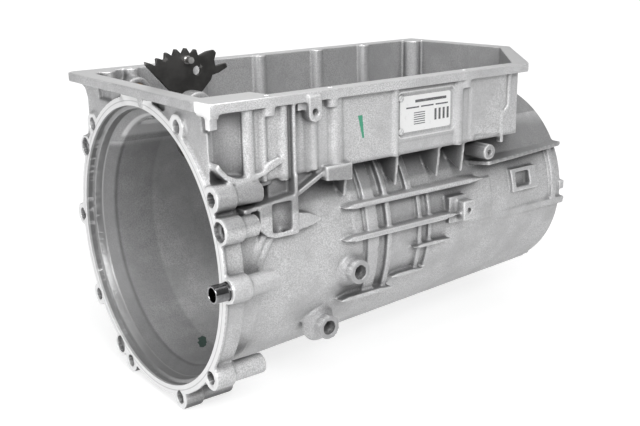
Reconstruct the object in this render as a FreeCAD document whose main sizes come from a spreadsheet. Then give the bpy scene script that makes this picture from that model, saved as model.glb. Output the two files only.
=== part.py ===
import FreeCAD, Part
import Sketcher
import math
import os

# Cast housing of a longitudinal gearbox, lying with its sump opening up.
# Frame: origin at the centre of the front bore in the front flange face,
# X along the gearbox axis to the rear, Y to the far side, Z up to the sump flange.

V = FreeCAD.Vector
document = FreeCAD.newDocument("gearbox_housing")
sheet = document.addObject("Spreadsheet::Sheet", "Sizes")


class Size:
    """A size with its number and the text of the same size for a binding."""

    def __init__(self, number, text):
        self.number = number
        self.text = text

    def __add__(self, other):
        other = as_size(other)
        return Size(self.number + other.number, f"({self.text} + {other.text})")

    def __sub__(self, other):
        other = as_size(other)
        return Size(self.number - other.number, f"({self.text} - {other.text})")

    def __mul__(self, other):
        other = as_size(other)
        return Size(self.number * other.number, f"({self.text} * {other.text})")

    def __truediv__(self, other):
        other = as_size(other)
        return Size(self.number / other.number, f"({self.text} / {other.text})")

    def __neg__(self):
        return Size(-self.number, f"(0 - {self.text})")

    def __radd__(self, other):
        return as_size(other) + self

    def __rsub__(self, other):
        return as_size(other) - self

    def __rmul__(self, other):
        return as_size(other) * self


def as_size(value):
    return value if isinstance(value, Size) else Size(float(value), f"({float(value)})")


def num(value):
    return as_size(value).number


def cosine(angle):
    angle = as_size(angle)
    return Size(math.cos(math.radians(angle.number)), f"cos({angle.text} * 1 deg)")


def sine(angle):
    angle = as_size(angle)
    return Size(math.sin(math.radians(angle.number)), f"sin({angle.text} * 1 deg)")


sheet_row = 0


def cell(alias, value):
    """Write one driving size into the sheet and give it back as a Size."""
    global sheet_row
    sheet_row += 1
    sheet.set(f"A{sheet_row}", alias.replace("_", " "))
    sheet.set(f"B{sheet_row}", str(value))
    sheet.setAlias(f"B{sheet_row}", alias)
    return Size(float(value), f"Sizes.{alias}")


# Front flange and bore
bore_r = cell("bore_radius", 136)
groove_r = cell("bore_groove_radius", 141)
bore_depth = cell("bore_depth", 8)
lip_r = cell("bore_lip_radius", 132)
lip_depth = cell("bore_lip_depth", 16)
ring_r = cell("ring_radius", 145.5)
band_r = cell("flange_band_radius", 142)
band_width = cell("flange_band_width", 22)
hole_circle_r = cell("hole_circle_radius", 147.5)
bolt_hole_r = cell("bolt_hole_radius", 6.5)
large_hole_r = cell("large_hole_radius", 9)
lug_r = cell("lug_radius", 12)
lug_length = cell("lug_length", 20)

# Barrel
barrel_length = cell("barrel_length", 475)
barrel_front_r = cell("barrel_front_radius", 130)
barrel_rear_r = cell("barrel_rear_radius", 109.4)
barrel_wall = cell("barrel_wall", 6.5)
rear_wall = cell("rear_wall", 12)
skin_step = cell("skin_step", 1.5)

# Rear output bore
hub_length = cell("hub_length", 15)
hub_r = cell("hub_radius", 58)
bearing_r = cell("bearing_radius", 40)
bearing_seat = cell("bearing_seat_length", 24)
cup_width = cell("bearing_cup_width", 17)
cup_wall = cell("bearing_cup_wall", 5)
shoulder_r = cell("shoulder_radius", 34)
seal_r = cell("output_seal_radius", 37)
seal_depth = cell("output_seal_depth", 12)

# Sump box
sump_height = cell("sump_height", 154)
flange_thickness = cell("sump_flange_thickness", 9)
near_wall_y = cell("near_wall_outer", -127)
far_wall_y = cell("far_wall_outer", 137)
flange_lip = cell("flange_overhang", 7.5)
sump_wall = cell("sump_wall", 6.5)
sump_floor = cell("sump_floor_height", 80)
floor_thickness = cell("floor_thickness", 7)
near_rear_x = cell("near_rear_corner", 374)
apex_x = cell("rear_apex", 478)
apex_y = cell("rear_apex_side", -13)
far_rear_x = cell("far_rear_corner", 464)
front_plate_x = cell("front_plate_setback", 4)
front_plate_thickness = cell("front_plate_thickness", 9)
pan_screw_r = cell("pan_screw_hole_radius", 3)
pan_boss_r = cell("pan_screw_boss_radius", 7)
pan_near_depth = cell("near_pan_screw_depth", 15)
pan_far_depth = cell("far_pan_screw_depth", 12)

# Screw tab of the near wall, which hangs from the sump flange
tab_x = cell("screw_tab_place", 105)
tab_r = cell("screw_tab_radius", 7)
tab_drop = cell("screw_tab_drop", 18)
tab_z = sump_height - tab_drop

# Selector shaft, detent plate and parking rod
shaft_x = cell("shaft_place", 59)
shaft_z = cell("shaft_height", 131)
shaft_r = cell("shaft_radius", 7)
shaft_reach = cell("shaft_reach", 18)
shaft_tip_length = cell("shaft_tip_length", 10)
plate_y = cell("detent_plate_side", 16)
plate_thickness = cell("detent_plate_thickness", 4)
detent_r = cell("detent_peak_radius", 52.3)
tooth_depth = cell("detent_tooth_depth", 5)
tooth_pitch = cell("detent_tooth_pitch", 11.8)
rod_arm = cell("rod_arm_length", 43)
rod_r = cell("rod_radius", 3)
eye_clearance = cell("rod_eye_clearance", 2.4)
running_gap = cell("running_gap", 0.05)
seat_gap = cell("seat_gap", 0.3)

# Dowel sleeve, label and cooler ports
dowel_r = cell("dowel_radius", 8)
dowel_bore_r = cell("dowel_sleeve_bore_radius", 6.2)
dowel_seat = cell("dowel_seat_depth", 14)
dowel_length = cell("dowel_length", 28)
relief_depth = cell("relief_groove_depth", 0.4)
relief_width = cell("relief_groove_width", 1)
label_x = cell("label_recess_start", 209)
label_length = cell("label_recess_length", 72)
label_z = cell("label_recess_foot", 98)
label_height = cell("label_recess_height", 41)
label_sink = cell("label_recess_depth", 1)
label_rim_height = cell("label_rim_height", 1.2)
label_rim_width = cell("label_rim_width", 3.5)
label_margin = cell("label_margin", 3)
label_thickness = cell("label_thickness", 0.35)
port_outer_r = cell("port_outer_radius", 11.5)
port_r = cell("port_radius", 7)

# Parking lock: rod height follows from the shaft and the arm
rod_y = cell("rod_side", 24)
bush_wall = cell("bush_wall", 1.5)
bush_length = cell("bush_length", 14)
seal_ring_r = cell("shaft_seal_radius", 12)
seal_ring_width = cell("shaft_seal_width", 6)
pawl_y = cell("pawl_pivot_side", -34)
pawl_z = cell("pawl_pivot_height", 78)
pawl_pin_r = cell("pawl_pin_radius", 4)
pawl_thickness = cell("pawl_thickness", 10)
pawl_boss_length = cell("pawl_boss_length", 28.7)
guide_boss_length = cell("guide_boss_length", 24)
guide_thickness = cell("guide_plate_thickness", 3)
guide_screw_r = cell("guide_screw_radius", 3)
guide_hole_r = cell("guide_hole_radius", 9.7)
cone_middle_r = cell("cone_middle_radius", 6.5)
cone_half_length = cell("cone_half_length", 18)
cone_slope = cell("cone_slope", 0.14)
spring_wire_r = cell("spring_wire_radius", 0.9)
lock_pin_r = cell("lock_pin_radius", 2)
lock_pin_y = cell("lock_pin_side", 26)
stud_r = cell("valve_stud_radius", 3.2)

document.recompute()


def bind(item, prop, value):
    """Set a property and, where the value is a Size, bind it to the sheet."""
    setattr(item, prop, num(value))
    if isinstance(value, Size):
        item.setExpression(prop, value.text)


def put(item, x, y, z, rotation=None):
    """Place an item, with its place bound to the sheet."""
    turn = rotation if rotation is not None else FreeCAD.Rotation()
    item.Placement = FreeCAD.Placement(V(num(x), num(y), num(z)), turn)
    for axis, value in zip("xyz", (x, y, z)):
        if isinstance(value, Size):
            item.setExpression(f"Placement.Base.{axis}", value.text)
    return item


def block(name, x_span, y_span, z_span):
    """A rectangular block between three pairs of coordinates."""
    item = document.addObject("Part::Box", name)
    bind(item, "Length", x_span[1] - x_span[0])
    bind(item, "Width", y_span[1] - y_span[0])
    bind(item, "Height", z_span[1] - z_span[0])
    return put(item, x_span[0], y_span[0], z_span[0])


def rod(name, radius, start, direction, length):
    """A round bar from a start point along a direction."""
    item = document.addObject("Part::Cylinder", name)
    bind(item, "Radius", radius)
    bind(item, "Height", length)
    return put(item, *start, FreeCAD.Rotation(V(0, 0, 1), V(*direction)))


def taper(name, first_r, second_r, start, direction, length):
    """A tapered round boss from a start point along a direction."""
    item = document.addObject("Part::Cone", name)
    bind(item, "Radius1", first_r)
    bind(item, "Radius2", second_r)
    bind(item, "Height", length)
    return put(item, *start, FreeCAD.Rotation(V(0, 0, 1), V(*direction)))


def join(name, items):
    item = document.addObject("Part::MultiFuse", name)
    item.Shapes = items
    return item


def cut(name, base, tools):
    """Cut one tool, or several joined, from a base."""
    tool = tools[0] if len(tools) == 1 else join(f"{name}_tools", tools)
    item = document.addObject("Part::Cut", name)
    item.Base = base
    item.Tool = tool
    return item


def body_sketch(name, plane):
    """A body with one sketch on one of its own origin planes."""
    body = document.addObject("PartDesign::Body", name)
    sketch = body.newObject("Sketcher::SketchObject", f"{name}_sketch")
    face = next(item for item in body.Origin.OriginFeatures if item.Role == plane)
    sketch.AttachmentSupport = (face, [""])
    sketch.MapMode = "FlatFace"
    return body, sketch


def fix_point(sketch, geometry, position, x, y):
    """Tie one point of a sketch to its place from the sketch's origin."""
    for kind, value in (("DistanceX", x), ("DistanceY", y)):
        index = sketch.addConstraint(Sketcher.Constraint(kind, -1, 1, geometry, position, num(value)))
        if isinstance(value, Size):
            sketch.setExpression(f"Constraints[{index}]", value.text)


def outline(sketch, points):
    """A closed outline of straight edges through the given corners."""
    first = sketch.GeometryCount
    count = len(points)
    for index, corner in enumerate(points):
        following = points[(index + 1) % count]
        start = V(num(corner[0]), num(corner[1]), 0)
        end = V(num(following[0]), num(following[1]), 0)
        sketch.addGeometry(Part.LineSegment(start, end), False)
    for index in range(count):
        following = first + (index + 1) % count
        sketch.addConstraint(Sketcher.Constraint("Coincident", first + index, 2, following, 1))
    for index, corner in enumerate(points):
        fix_point(sketch, first + index, 1, *corner)


def circle(sketch, x, y, radius):
    """A circle of a bound radius at a bound centre."""
    index = sketch.addGeometry(Part.Circle(V(num(x), num(y), 0), V(0, 0, 1), num(radius)), False)
    place = sketch.addConstraint(Sketcher.Constraint("Radius", index, num(radius)))
    if isinstance(radius, Size):
        sketch.setExpression(f"Constraints[{place}]", radius.text)
    fix_point(sketch, index, 3, x, y)


def turned(name, profile):
    """A body turned about the gearbox axis from a half profile of x and radius."""
    body, sketch = body_sketch(name, "XZ_Plane")
    outline(sketch, profile)
    feature = body.newObject("PartDesign::Revolution", f"{name}_turn")
    feature.Profile = sketch
    feature.ReferenceAxis = (sketch, ["H_Axis"])
    feature.Angle = 360
    return body


def slab(name, plane, points, start, length, holes=()):
    """A flat plate: an outline padded from a start along its plane's normal."""
    body, sketch = body_sketch(name, plane)
    outline(sketch, points)
    for hole in holes:
        circle(sketch, *hole)
    feature = body.newObject("PartDesign::Pad", f"{name}_pad")
    feature.Profile = sketch
    bind(feature, "Length", length)
    lift = {"XY_Plane": (0, 0, start), "XZ_Plane": (0, start, 0), "YZ_Plane": (start, 0, 0)}[plane]
    return put(body, *lift)


def on_circle(angle, radius):
    """Side and height of a point at an angle from the far side on a circle about the axis."""
    return radius * cosine(angle), radius * sine(angle)


# Bolt holes of the front flange by angle, with the length of the boss behind each
BOLTS = (
    (45.7, 24),
    (0.5, 24),
    (-34.3, 24),
    (-68.6, 40),
    (-110.2, 54),
    (-139.6, 54),
    (150.4, 48),
    (120.5, 24),
)
LARGE_HOLES = ((32.4, 24), (-58.9, 30), (161.3, 36))
DOWELS = ((-179.0, 51),)


def flange_lugs():
    """Lugs and the stepped bosses behind them, one for each hole."""
    made = []
    for index, (angle, length) in enumerate(BOLTS + LARGE_HOLES + DOWELS):
        side, height = on_circle(angle, hole_circle_r)
        made.append(rod(f"lug_{index}", lug_r, (0, side, height), (1, 0, 0), lug_length))
        made.append(rod(f"lug_boss_{index}", lug_r - 2.5, (0, side, height), (1, 0, 0), length))
    return made


def flange_holes():
    """Through holes, stepped large holes and dowel bores of the front flange."""
    made = []
    for index, (angle, length) in enumerate(BOLTS):
        side, height = on_circle(angle, hole_circle_r)
        made.append(rod(f"bolt_hole_{index}", bolt_hole_r, (-1, side, height), (1, 0, 0), length + 2))
    for index, (angle, length) in enumerate(LARGE_HOLES):
        side, height = on_circle(angle, hole_circle_r)
        made.append(rod(f"large_hole_{index}", large_hole_r, (-1, side, height), (1, 0, 0), 7))
        made.append(rod(f"large_core_{index}", bolt_hole_r, (-1, side, height), (1, 0, 0), length + 2))
    for index, (angle, length) in enumerate(DOWELS):
        side, height = on_circle(angle, hole_circle_r)
        made.append(rod(f"dowel_bore_{index}", dowel_r, (-1, side, height), (1, 0, 0), dowel_seat + 1))
        made.append(rod(f"dowel_core_{index}", bolt_hole_r, (-1, side, height), (1, 0, 0), length + 2))
    return made


def barrel_radius(x):
    """Outer radius of the tapered barrel at a place along the axis."""
    slope = (barrel_rear_r - barrel_front_r) / barrel_length
    return barrel_front_r + slope * x


def barrel():
    """Outer form of the tapered barrel with its flange band and rear hub."""
    inner_edge = band_width + 24
    return turned("barrel_form", (
        (0, 0),
        (0, ring_r),
        (3, ring_r),
        (5, band_r),
        (band_width, band_r),
        (band_width + 4, barrel_front_r + skin_step),
        (inner_edge, barrel_radius(inner_edge) + skin_step),
        (inner_edge + 2, barrel_radius(inner_edge + 2)),
        (barrel_length - 4, barrel_rear_r),
        (barrel_length, barrel_rear_r - 3),
        (barrel_length, hub_r),
        (barrel_length + hub_length, hub_r - 3),
        (barrel_length + hub_length, 0),
    ))


def barrel_hollow():
    """Front bore steps, the tapered inside and the rear output bore."""
    inside_end = barrel_length - rear_wall
    cup_start = inside_end - 12 + bearing_seat - cup_width
    return turned("barrel_hollow", (
        (-2, 0),
        (-2, bore_r),
        (bore_depth, bore_r),
        (bore_depth, lip_r),
        (lip_depth, lip_r),
        (lip_depth + 10, barrel_front_r - barrel_wall),
        (inside_end - 6, barrel_rear_r - barrel_wall),
        (inside_end, barrel_rear_r - barrel_wall - 8),
        (inside_end, hub_r + 2),
        (inside_end - 12, hub_r - 2),
        (inside_end - 12, bearing_r),
        (cup_start - 3.2, bearing_r),
        (cup_start - 3.2, bearing_r + 1.5),
        (cup_start - 1, bearing_r + 1.5),
        (cup_start - 1, bearing_r),
        (inside_end - 12 + bearing_seat, bearing_r),
        (inside_end - 12 + bearing_seat, shoulder_r),
        (barrel_length + hub_length - seal_depth, shoulder_r),
        (barrel_length + hub_length - seal_depth, seal_r),
        (barrel_length + hub_length + 2, seal_r),
        (barrel_length + hub_length + 2, 0),
    ))


def ring_groove():
    """Fine groove turned into the front ring face round the bore."""
    return turned("ring_groove", (
        (-1, groove_r - 0.9),
        (-1, groove_r),
        (0.8, groove_r),
        (0.8, groove_r - 0.9),
    ))


def sump_outline(grow):
    """Corners of the sump wall seen from above, grown outwards by a distance."""
    return (
        (8 - grow, near_wall_y - grow),
        (near_rear_x + grow, near_wall_y - grow),
        (apex_x + grow, apex_y),
        (far_rear_x + grow, far_wall_y + grow),
        (20 - grow, far_wall_y + grow),
        (8 - grow, far_wall_y - 16),
    )


def sump_box():
    """Outer form of the sump walls, and the flange around their rim."""
    walls = slab("sump_walls", "XY_Plane", sump_outline(0), sump_floor, sump_height - sump_floor)
    rim = (
        (3, near_wall_y - flange_lip),
        (near_rear_x + flange_lip, near_wall_y - flange_lip),
        (near_rear_x + 18, near_wall_y + 4),
        (apex_x + flange_lip, apex_y),
        (far_rear_x + flange_lip, far_wall_y + flange_lip + 2),
        (3, far_wall_y + flange_lip + 6),
        (-4, far_wall_y + flange_lip),
        (-3, near_wall_y + 20),
    )
    flange = slab("sump_flange", "XY_Plane", rim, sump_height - flange_thickness, flange_thickness)
    return [walls, flange]


def sump_hollow():
    """Inside of the sump, drawn in round the front pocket of the near wall."""
    inner_near = near_wall_y + sump_wall
    inner_far = far_wall_y - sump_wall
    front = front_plate_x + front_plate_thickness
    points = (
        (front, -98),
        (62, -98),
        (66, inner_near),
        (near_rear_x - 3, inner_near),
        (apex_x - sump_wall - 3, apex_y),
        (far_rear_x - sump_wall, inner_far),
        (front + 14, inner_far),
        (front, inner_far - 16),
    )
    depth = sump_height - sump_floor - floor_thickness
    return slab("sump_hollow", "XY_Plane", points, sump_floor + floor_thickness, depth + 1)


def front_plate():
    """Upright plate between the ring and the sump flange, with its concave far edge."""
    points = (
        (near_wall_y - 5, 116),
        (near_wall_y, 62),
        (-60, 100),
        (60, 100),
        (129, 82),
        (119, 115),
        (119, 130),
        (124, 139),
        (far_wall_y + 2, sump_height - flange_thickness),
        (far_wall_y + 2, sump_height - 2),
        (near_wall_y - 5, sump_height - 2),
    )
    return slab("front_plate", "YZ_Plane", points, front_plate_x, front_plate_thickness)


def front_recesses():
    """Slots cast into the front plate below the sump flange."""
    top = sump_height - flange_thickness - 1
    depth = (front_plate_x - 1, front_plate_x + 5)
    return [
        block("front_slot_far", depth, (62, 92), (top - 12, top)),
        block("front_slot_mid", depth, (-48, -26), (top - 11, top)),
        block("front_slot_near", depth, (-122, -112), (top - 16, top)),
    ]


def front_blocks():
    """Upright guide block and the machined near corner of the front plate."""
    near = near_wall_y - flange_lip
    strip_z = (sump_height - 22, sump_height - 10)
    return [
        block("guide_block", (-2, front_plate_x + 1), (-16, -7), (sump_height - 17, sump_height - 4)),
        block("corner_block", (-1, 9), (near + 0.5, near + 22), (sump_height - 12, sump_height)),
        block("corner_strip", (0, 8), (near + 1.5, near + 9), strip_z),
    ]


def wall_pockets():
    """Concave pockets cast into the near wall beside its front plate and its tall rib."""
    front = rod("front_pocket", 20, (20, near_wall_y - 7, 84), (0, 0, 1), 60)
    narrow = rod("narrow_pocket", 7.5, (95.5, near_wall_y - 4, 68), (0, 0, 1), 70)
    return [front, narrow]


# Half-round columns on the walls: place along the wall, foot height, radius, how far they stand out
NEAR_COLUMNS = (
    (40, 86, 6, 4),
    (55, 80, 3, 3),
    (76, 78, 5, 4),
    (108, 82, 5, 4),
    (134, 80, 10, 4),
    (205, 80, 4, 3),
    (288, 80, 5.5, 4.5),
    (308, 82, 4, 2),
)
FAR_COLUMN_PLACES = (60, 142, 222, 304, 376, 440)
PAN_BOSSES_NEAR = (60, 128, 295)
PAN_BOSSES_FAR = (60, 142, 222, 304, 376)


def half_round(name, x, foot, radius, proud, wall, side):
    """The part of an upright round bar that stands out of a wall."""
    top = sump_height - flange_thickness + 1
    bar = rod(f"{name}_bar", radius, (x, wall + side * (proud - radius), foot), (0, 0, 1), top - foot)
    root, reach = wall - side * 2, wall + side * (proud + 1)
    span = (root, reach) if side > 0 else (reach, root)
    window = block(f"{name}_window", (x - radius - 1, x + radius + 1), span, (foot - 1, top + 1))
    item = document.addObject("Part::Common", name)
    item.Base = bar
    item.Tool = window
    return item


def wall_columns():
    """Half-round columns on the outside of both walls and the short pan screw bosses."""
    made = []
    for index, (x, foot, radius, proud) in enumerate(NEAR_COLUMNS):
        made.append(half_round(f"near_column_{index}", x, foot, radius, proud, near_wall_y, -1))
    for index, x in enumerate(FAR_COLUMN_PLACES):
        made.append(half_round(f"far_column_{index}", x, 84, 6, 5, far_wall_y, 1))
    for index, x in enumerate(PAN_BOSSES_NEAR):
        start = (x, near_wall_y - 0.5, sump_height - pan_near_depth - 2)
        made.append(rod(f"near_pan_boss_{index}", pan_boss_r, start, (0, 0, 1), pan_near_depth))
    return made


def inner_columns():
    """Columns for the pan screws that stand inside the far and the diagonal wall."""
    made = []
    for index, x in enumerate(PAN_BOSSES_FAR):
        start = (x, far_wall_y - sump_wall, sump_floor + 2)
        made.append(rod(f"inner_column_{index}", 8, start, (0, 0, 1), sump_height - sump_floor - 2))
    corner = (far_rear_x - 12, far_wall_y - 14, sump_floor + 2)
    made.append(rod("rear_corner_column", 11, corner, (0, 0, 1), sump_height - sump_floor - 2))
    made.append(rod("front_corner_column", 9, (30, far_wall_y - 12, sump_floor + 2), (0, 0, 1),
                    sump_height - sump_floor - 2))
    return made


def pan_screw_places():
    """Places of the screw holes in the sump flange."""
    near = [(x, near_wall_y - 0.5) for x in PAN_BOSSES_NEAR]
    far = [(x, far_wall_y - sump_wall + 1) for x in PAN_BOSSES_FAR]
    return near + far


def pan_screw_holes():
    made = []
    for index, (x, y) in enumerate(pan_screw_places()):
        depth = pan_far_depth if y.number > 0 else pan_near_depth
        start = (x, y, sump_height - depth)
        made.append(rod(f"pan_hole_{index}", pan_screw_r, start, (0, 0, 1), depth + 1))
    return made


def near_wall_ribs():
    """Pocket rib, tall rib, shelf, diagonal rib, pad and screw lugs of the near wall."""
    wall = near_wall_y + sump_wall - 2
    curve = ((5, 99), (8, 94.5), (14, 88), (24, 83), (35, 82), (54, 86), (54, 90.5), (35, 86.5), (25, 87.5),
             (17, 91.5), (11, 98), (8, 103))
    made = [slab("pocket_rib", "XZ_Plane", curve, -104, 27)]
    end = ((53, 86), (72, 94), (74, 98), (68, 100), (60, 98), (53, 90.5))
    made.append(slab("pocket_rib_end", "XZ_Plane", end, wall, 8.5))
    made.append(slab("tall_rib", "XZ_Plane", ((83, 80), (86.5, 80), (86.5, 148), (83, 148)), wall, 10.5))
    made.append(slab("tall_rib_foot", "XZ_Plane", ((83, 29), (86.5, 29), (86.5, 82), (83, 82)), -92, 42))
    made.append(slab("inner_ledge", "XZ_Plane", ((40, 72), (64, 76), (64, 79), (40, 75)), -92, 33))
    made.append(slab("shelf_rib", "XZ_Plane", ((30, 55), (84, 61), (84, 65), (30, 59)), -92, 41))
    made.append(slab("diagonal_rib", "XZ_Plane", ((84, 59), (120, 77), (120, 82), (84, 64)), -92, 39))
    made.append(slab("wall_pad", "XZ_Plane", ((118, 71), (148, 67.5), (148, 84), (118, 84)), -92, 42))
    made.append(slab("wall_skirt", "XZ_Plane", ((62, 84), (62, 62), (90, 60), (120, 75), (120, 84)), -92, 30))
    panel = ((304, 88), (346, 84), (346, 103), (355.5, 113.5), (355.5, 148), (304, 148))
    made.append(slab("rear_panel", "XZ_Plane", panel, wall, 6.5))
    strip = ((348, 74), (352, 74), (352, 100), (362, 111), (362, 148), (358, 148), (358, 113), (348, 102))
    made.append(slab("panel_strip", "XZ_Plane", strip, wall, 7.5))
    root = (near_wall_y - 4, near_wall_y + 2)
    made.append(block("screw_tab_root", (tab_x - 15, tab_x - 6), root, (tab_z + 2, sump_height - 3)))
    tab = (near_wall_y - 10, near_wall_y + 2)
    made.append(block("screw_tab", (tab_x - tab_r, tab_x + tab_r), tab, (tab_z - 2, sump_height - 3)))
    made.append(rod("screw_tab_end", tab_r, (tab_x, near_wall_y + 2, tab_z - 2), (0, -1, 0), 12))
    made.append(rod("low_screw_boss", 8, (326, -92, 68), (0, -1, 0), 44))
    return made + lower_body()


def lower_body():
    """Bowl below the shelf, with its round side and the flat wing behind the tall rib."""
    bowl = ((45, 38), (53, 31), (62, 28), (85, 28), (85, 63), (45, 59))
    wing = ((84, 29), (104, 32), (113, 35), (113, 38), (100, 44), (84, 47))
    return [slab("lower_bowl", "XZ_Plane", bowl, -92, 42), slab("lower_wing", "XZ_Plane", wing, -92, 39)]


def label_frame():
    """Raised rim round the recess of the label."""
    along = (label_x - label_rim_width, label_x + label_length + label_rim_width)
    upright = (label_z - label_rim_width, label_z + label_height + label_rim_width)
    return block("label_rim", along, (near_wall_y - label_rim_height, near_wall_y + 2), upright)


def near_wall_cuts():
    """The label recess, the bowl below the shelf and the screw holes of the near wall."""
    sunk = (near_wall_y - 7, near_wall_y + label_sink)
    made = [block("label_recess", (label_x, label_x + label_length), sunk, (label_z, label_z + label_height))]
    made.append(rod("tab_hole", tab_r / 2, (tab_x, near_wall_y + 2, tab_z), (0, -1, 0), 14))
    made.append(rod("low_screw_hole", 3, (326, -120, 68), (0, -1, 0), 20))
    made.append(rod("bowl_scoop", 10.5, (69, -133, 33), (0, 0, 1), 27))
    made.append(rod("bowl_drain", 4.2, (70, -128, 26), (0, 0, 1), 9))
    return made


# Fins along the barrel: foot height, thickness, start, end, outer reach
FINS = (
    (36, 5, 144, 330, 127),
    (6, 5, 140, 292, 132),
    (-20, 4, 232, 284, 127),
    (-57, 4.5, 140, 212, 122),
    (-47, 4, 204, 256, 121),
)


def barrel_fins():
    """Long fins on both sides of the barrel, with pointed ends."""
    made = []
    for side in (-1, 1):
        for index, (z, thickness, start, end, reach) in enumerate(FINS):
            points = ((start, z + thickness / 2), (start + 12, z), (end - 20, z), (end, z + thickness / 2),
                      (end - 20, z + thickness), (start + 12, z + thickness))
            width = 34
            foot = side * (reach - width) if side < 0 else reach
            made.append(slab(f"fin_{side + 1}_{index}", "XZ_Plane", points, foot, width))
    return made


def ring_rib(name, x_from, x_to, z_from, z_to, proud, side):
    """A band that follows the barrel round from one height to another."""
    radius = barrel_radius((x_from + x_to) / 2) + proud
    band = rod(f"{name}_band", radius, (x_from, 0, 0), (1, 0, 0), x_to - x_from)
    reach = (-150, -70) if side < 0 else (70, 150)
    window = block(f"{name}_window", (x_from - 1, x_to + 1), reach, (z_from, z_to))
    item = document.addObject("Part::Common", name)
    item.Base = band
    item.Tool = window
    return item


# V-shaped webs below the walls and the bands beside them: place and thickness
GUSSETS = ((146, 3), (209, 3), (264, 3), (298, 3))
BANDS = (
    (158, 168, -10, 80, 1),
    (172, 186, -52, 80, 4),
    (196, 202, -52, 80, 6),
    (228, 236, 38, 80, 5),
    (240, 245, -46, 38, 4),
    (254, 259, -46, 38, 4),
)


def barrel_bands():
    """Upright bands between the fins, on both sides of the barrel."""
    made = []
    for side in (-1, 1):
        for index, (start, end, low, high, proud) in enumerate(BANDS):
            made.append(ring_rib(f"band_{side + 1}_{index}", start, end, low, high, proud, side))
    return made


def gussets():
    """Triangular webs below the sump walls, pointed at their lower end."""
    made = []
    for side, wall in ((-1, near_wall_y), (1, far_wall_y)):
        reach = wall - 2 * side
        foot = side * 96
        for index, (x, thickness) in enumerate(GUSSETS):
            points = ((foot, 84), (reach, 84), (reach, 72), (reach - 3 * side, 49), (foot, 64))
            made.append(slab(f"gusset_{side + 1}_{index}", "YZ_Plane", points, x, thickness))
    return made


# Cooler ports on the near side: place, height and the reach of the port face
PORTS = ((154, -23.5, 137), (125, -76, 125))


def port_bosses():
    made = []
    for index, (x, z, reach) in enumerate(PORTS):
        made.append(rod(f"port_boss_{index}", port_outer_r, (x, -80, z), (0, -1, 0), reach - 80))
        made.append(taper(f"port_root_{index}", port_outer_r + 8, port_outer_r, (x, 20 - reach, z),
                          (0, -1, 0), 12))
    return made


def port_holes():
    made = []
    for index, (x, z, reach) in enumerate(PORTS):
        made.append(rod(f"port_hole_{index}", port_r, (x, -70, z), (0, -1, 0), reach))
    return made


def rear_side_features():
    """Parting plate, square boss, raised pad, slot pocket frame and rear rib of the near side."""
    edge = ((322, -100), (338, -124), (380, -120), (468, -108), (barrel_length, -104), (barrel_length, -60),
            (322, -60))
    made = [slab("parting_plate", "XY_Plane", edge, 50, 4)]
    made.append(block("square_boss", (291, 306), (-136, -100), (1, 21)))
    made.append(block("square_boss_root", (282, 306), (-124, -100), (-3, 25)))
    made.append(ring_rib("raised_pad", 308, 352, -10, 34, 1.5, -1))
    made.append(ring_rib("slot_frame", 384, 424, 12, 36, 6, -1))
    made.append(ring_rib("rear_rib", 452, 460, -14, 50, 4, -1))
    made.append(ring_rib("step_strip", 306, 474, -16, -8, 1.5, -1))
    made.append(block("side_notch", (barrel_length - 7, barrel_length + 1), (-112, -96), (0, 10)))
    return made


def rear_side_cuts():
    return [
        rod("square_boss_hole", 3, (299, -120, 11), (0, -1, 0), 18),
        block("slot_pocket", (390, 412), (-125, -108), (16, 32)),
    ]


def low_ribs():
    """Pair of low ribs along the lower side of the barrel, near and far."""
    made = []
    for side in (-1, 1):
        for index, angle in enumerate((-126.5, -122)):
            turned_angle = angle if side < 0 else -180 - angle
            tip_x = barrel_length - 2
            foot = (26, *on_circle(turned_angle, barrel_radius(26) - 1))
            tip = (tip_x, *on_circle(turned_angle, barrel_radius(tip_x) - 1))
            line = V(*[num(value) for value in tip]) - V(*[num(value) for value in foot])
            made.append(rod(f"low_rib_{side + 1}_{index}", 2.2, foot, tuple(line), barrel_length - 28))
    return made


def slanted_ribs():
    """Two slanted round ribs between the large hole and the dowel boss."""
    made = []
    for index, shift in enumerate((0, 9)):
        start = (34 + shift, -127, 2)
        made.append(rod(f"slanted_rib_{index}", 4, start, (17, 1.5, 27), 34))
    return made


# The pedestal of the selector shaft's inner end, from side to side
PEDESTAL = (-14, 4)


def shaft_supports():
    """Boss for the selector shaft in the far wall and the pedestal at its inner end."""
    made = [rod("shaft_boss", shaft_r + 8, (shaft_x, far_wall_y - 24, shaft_z), (0, 1, 0), 30)]
    start = (shaft_x, PEDESTAL[0], shaft_z)
    width = shaft_r + 7
    made.append(rod("shaft_pedestal", width, start, (0, 1, 0), PEDESTAL[1] - PEDESTAL[0]))
    foot = barrel_radius(shaft_x) - 8
    made.append(block("pedestal_foot", (shaft_x - width, shaft_x + width), PEDESTAL, (foot, shaft_z)))
    return made


def crown_windows():
    """Openings from the sump down into the barrel, split by cross webs."""
    top = (86, 132)
    made = [block("window_front", (32, 100), (6, 62), top)]
    for index, (start, end, near) in enumerate(((112, 222, -64), (234, 340, -64), (352, 424, -50))):
        made.append(block(f"window_{index}", (start, end), (near, 64), top))
    return made


def shaft_bores():
    """Bores for the selector shaft, its bushes and its seal."""
    bore = shaft_r + bush_wall
    made = [rod("far_bush_bore", bore, (shaft_x, far_wall_y - 26, shaft_z), (0, 1, 0), 40)]
    start = (shaft_x, PEDESTAL[1] - bush_length - 1, shaft_z)
    made.append(rod("near_bush_bore", bore, start, (0, 1, 0), bush_length + 4))
    made.append(rod("shaft_seal_bore", seal_ring_r, (shaft_x, far_wall_y - 1, shaft_z), (0, 1, 0), 10))
    return made


# Guide screws by their place from the rod, and the depth of the pin and screw holes
GUIDE_SCREWS = ((-24, 6), (24, -11))
PIN_SEAT = 16


def guide_screw_place(place):
    return rod_y + place[0], shaft_z - rod_arm + place[1]


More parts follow.
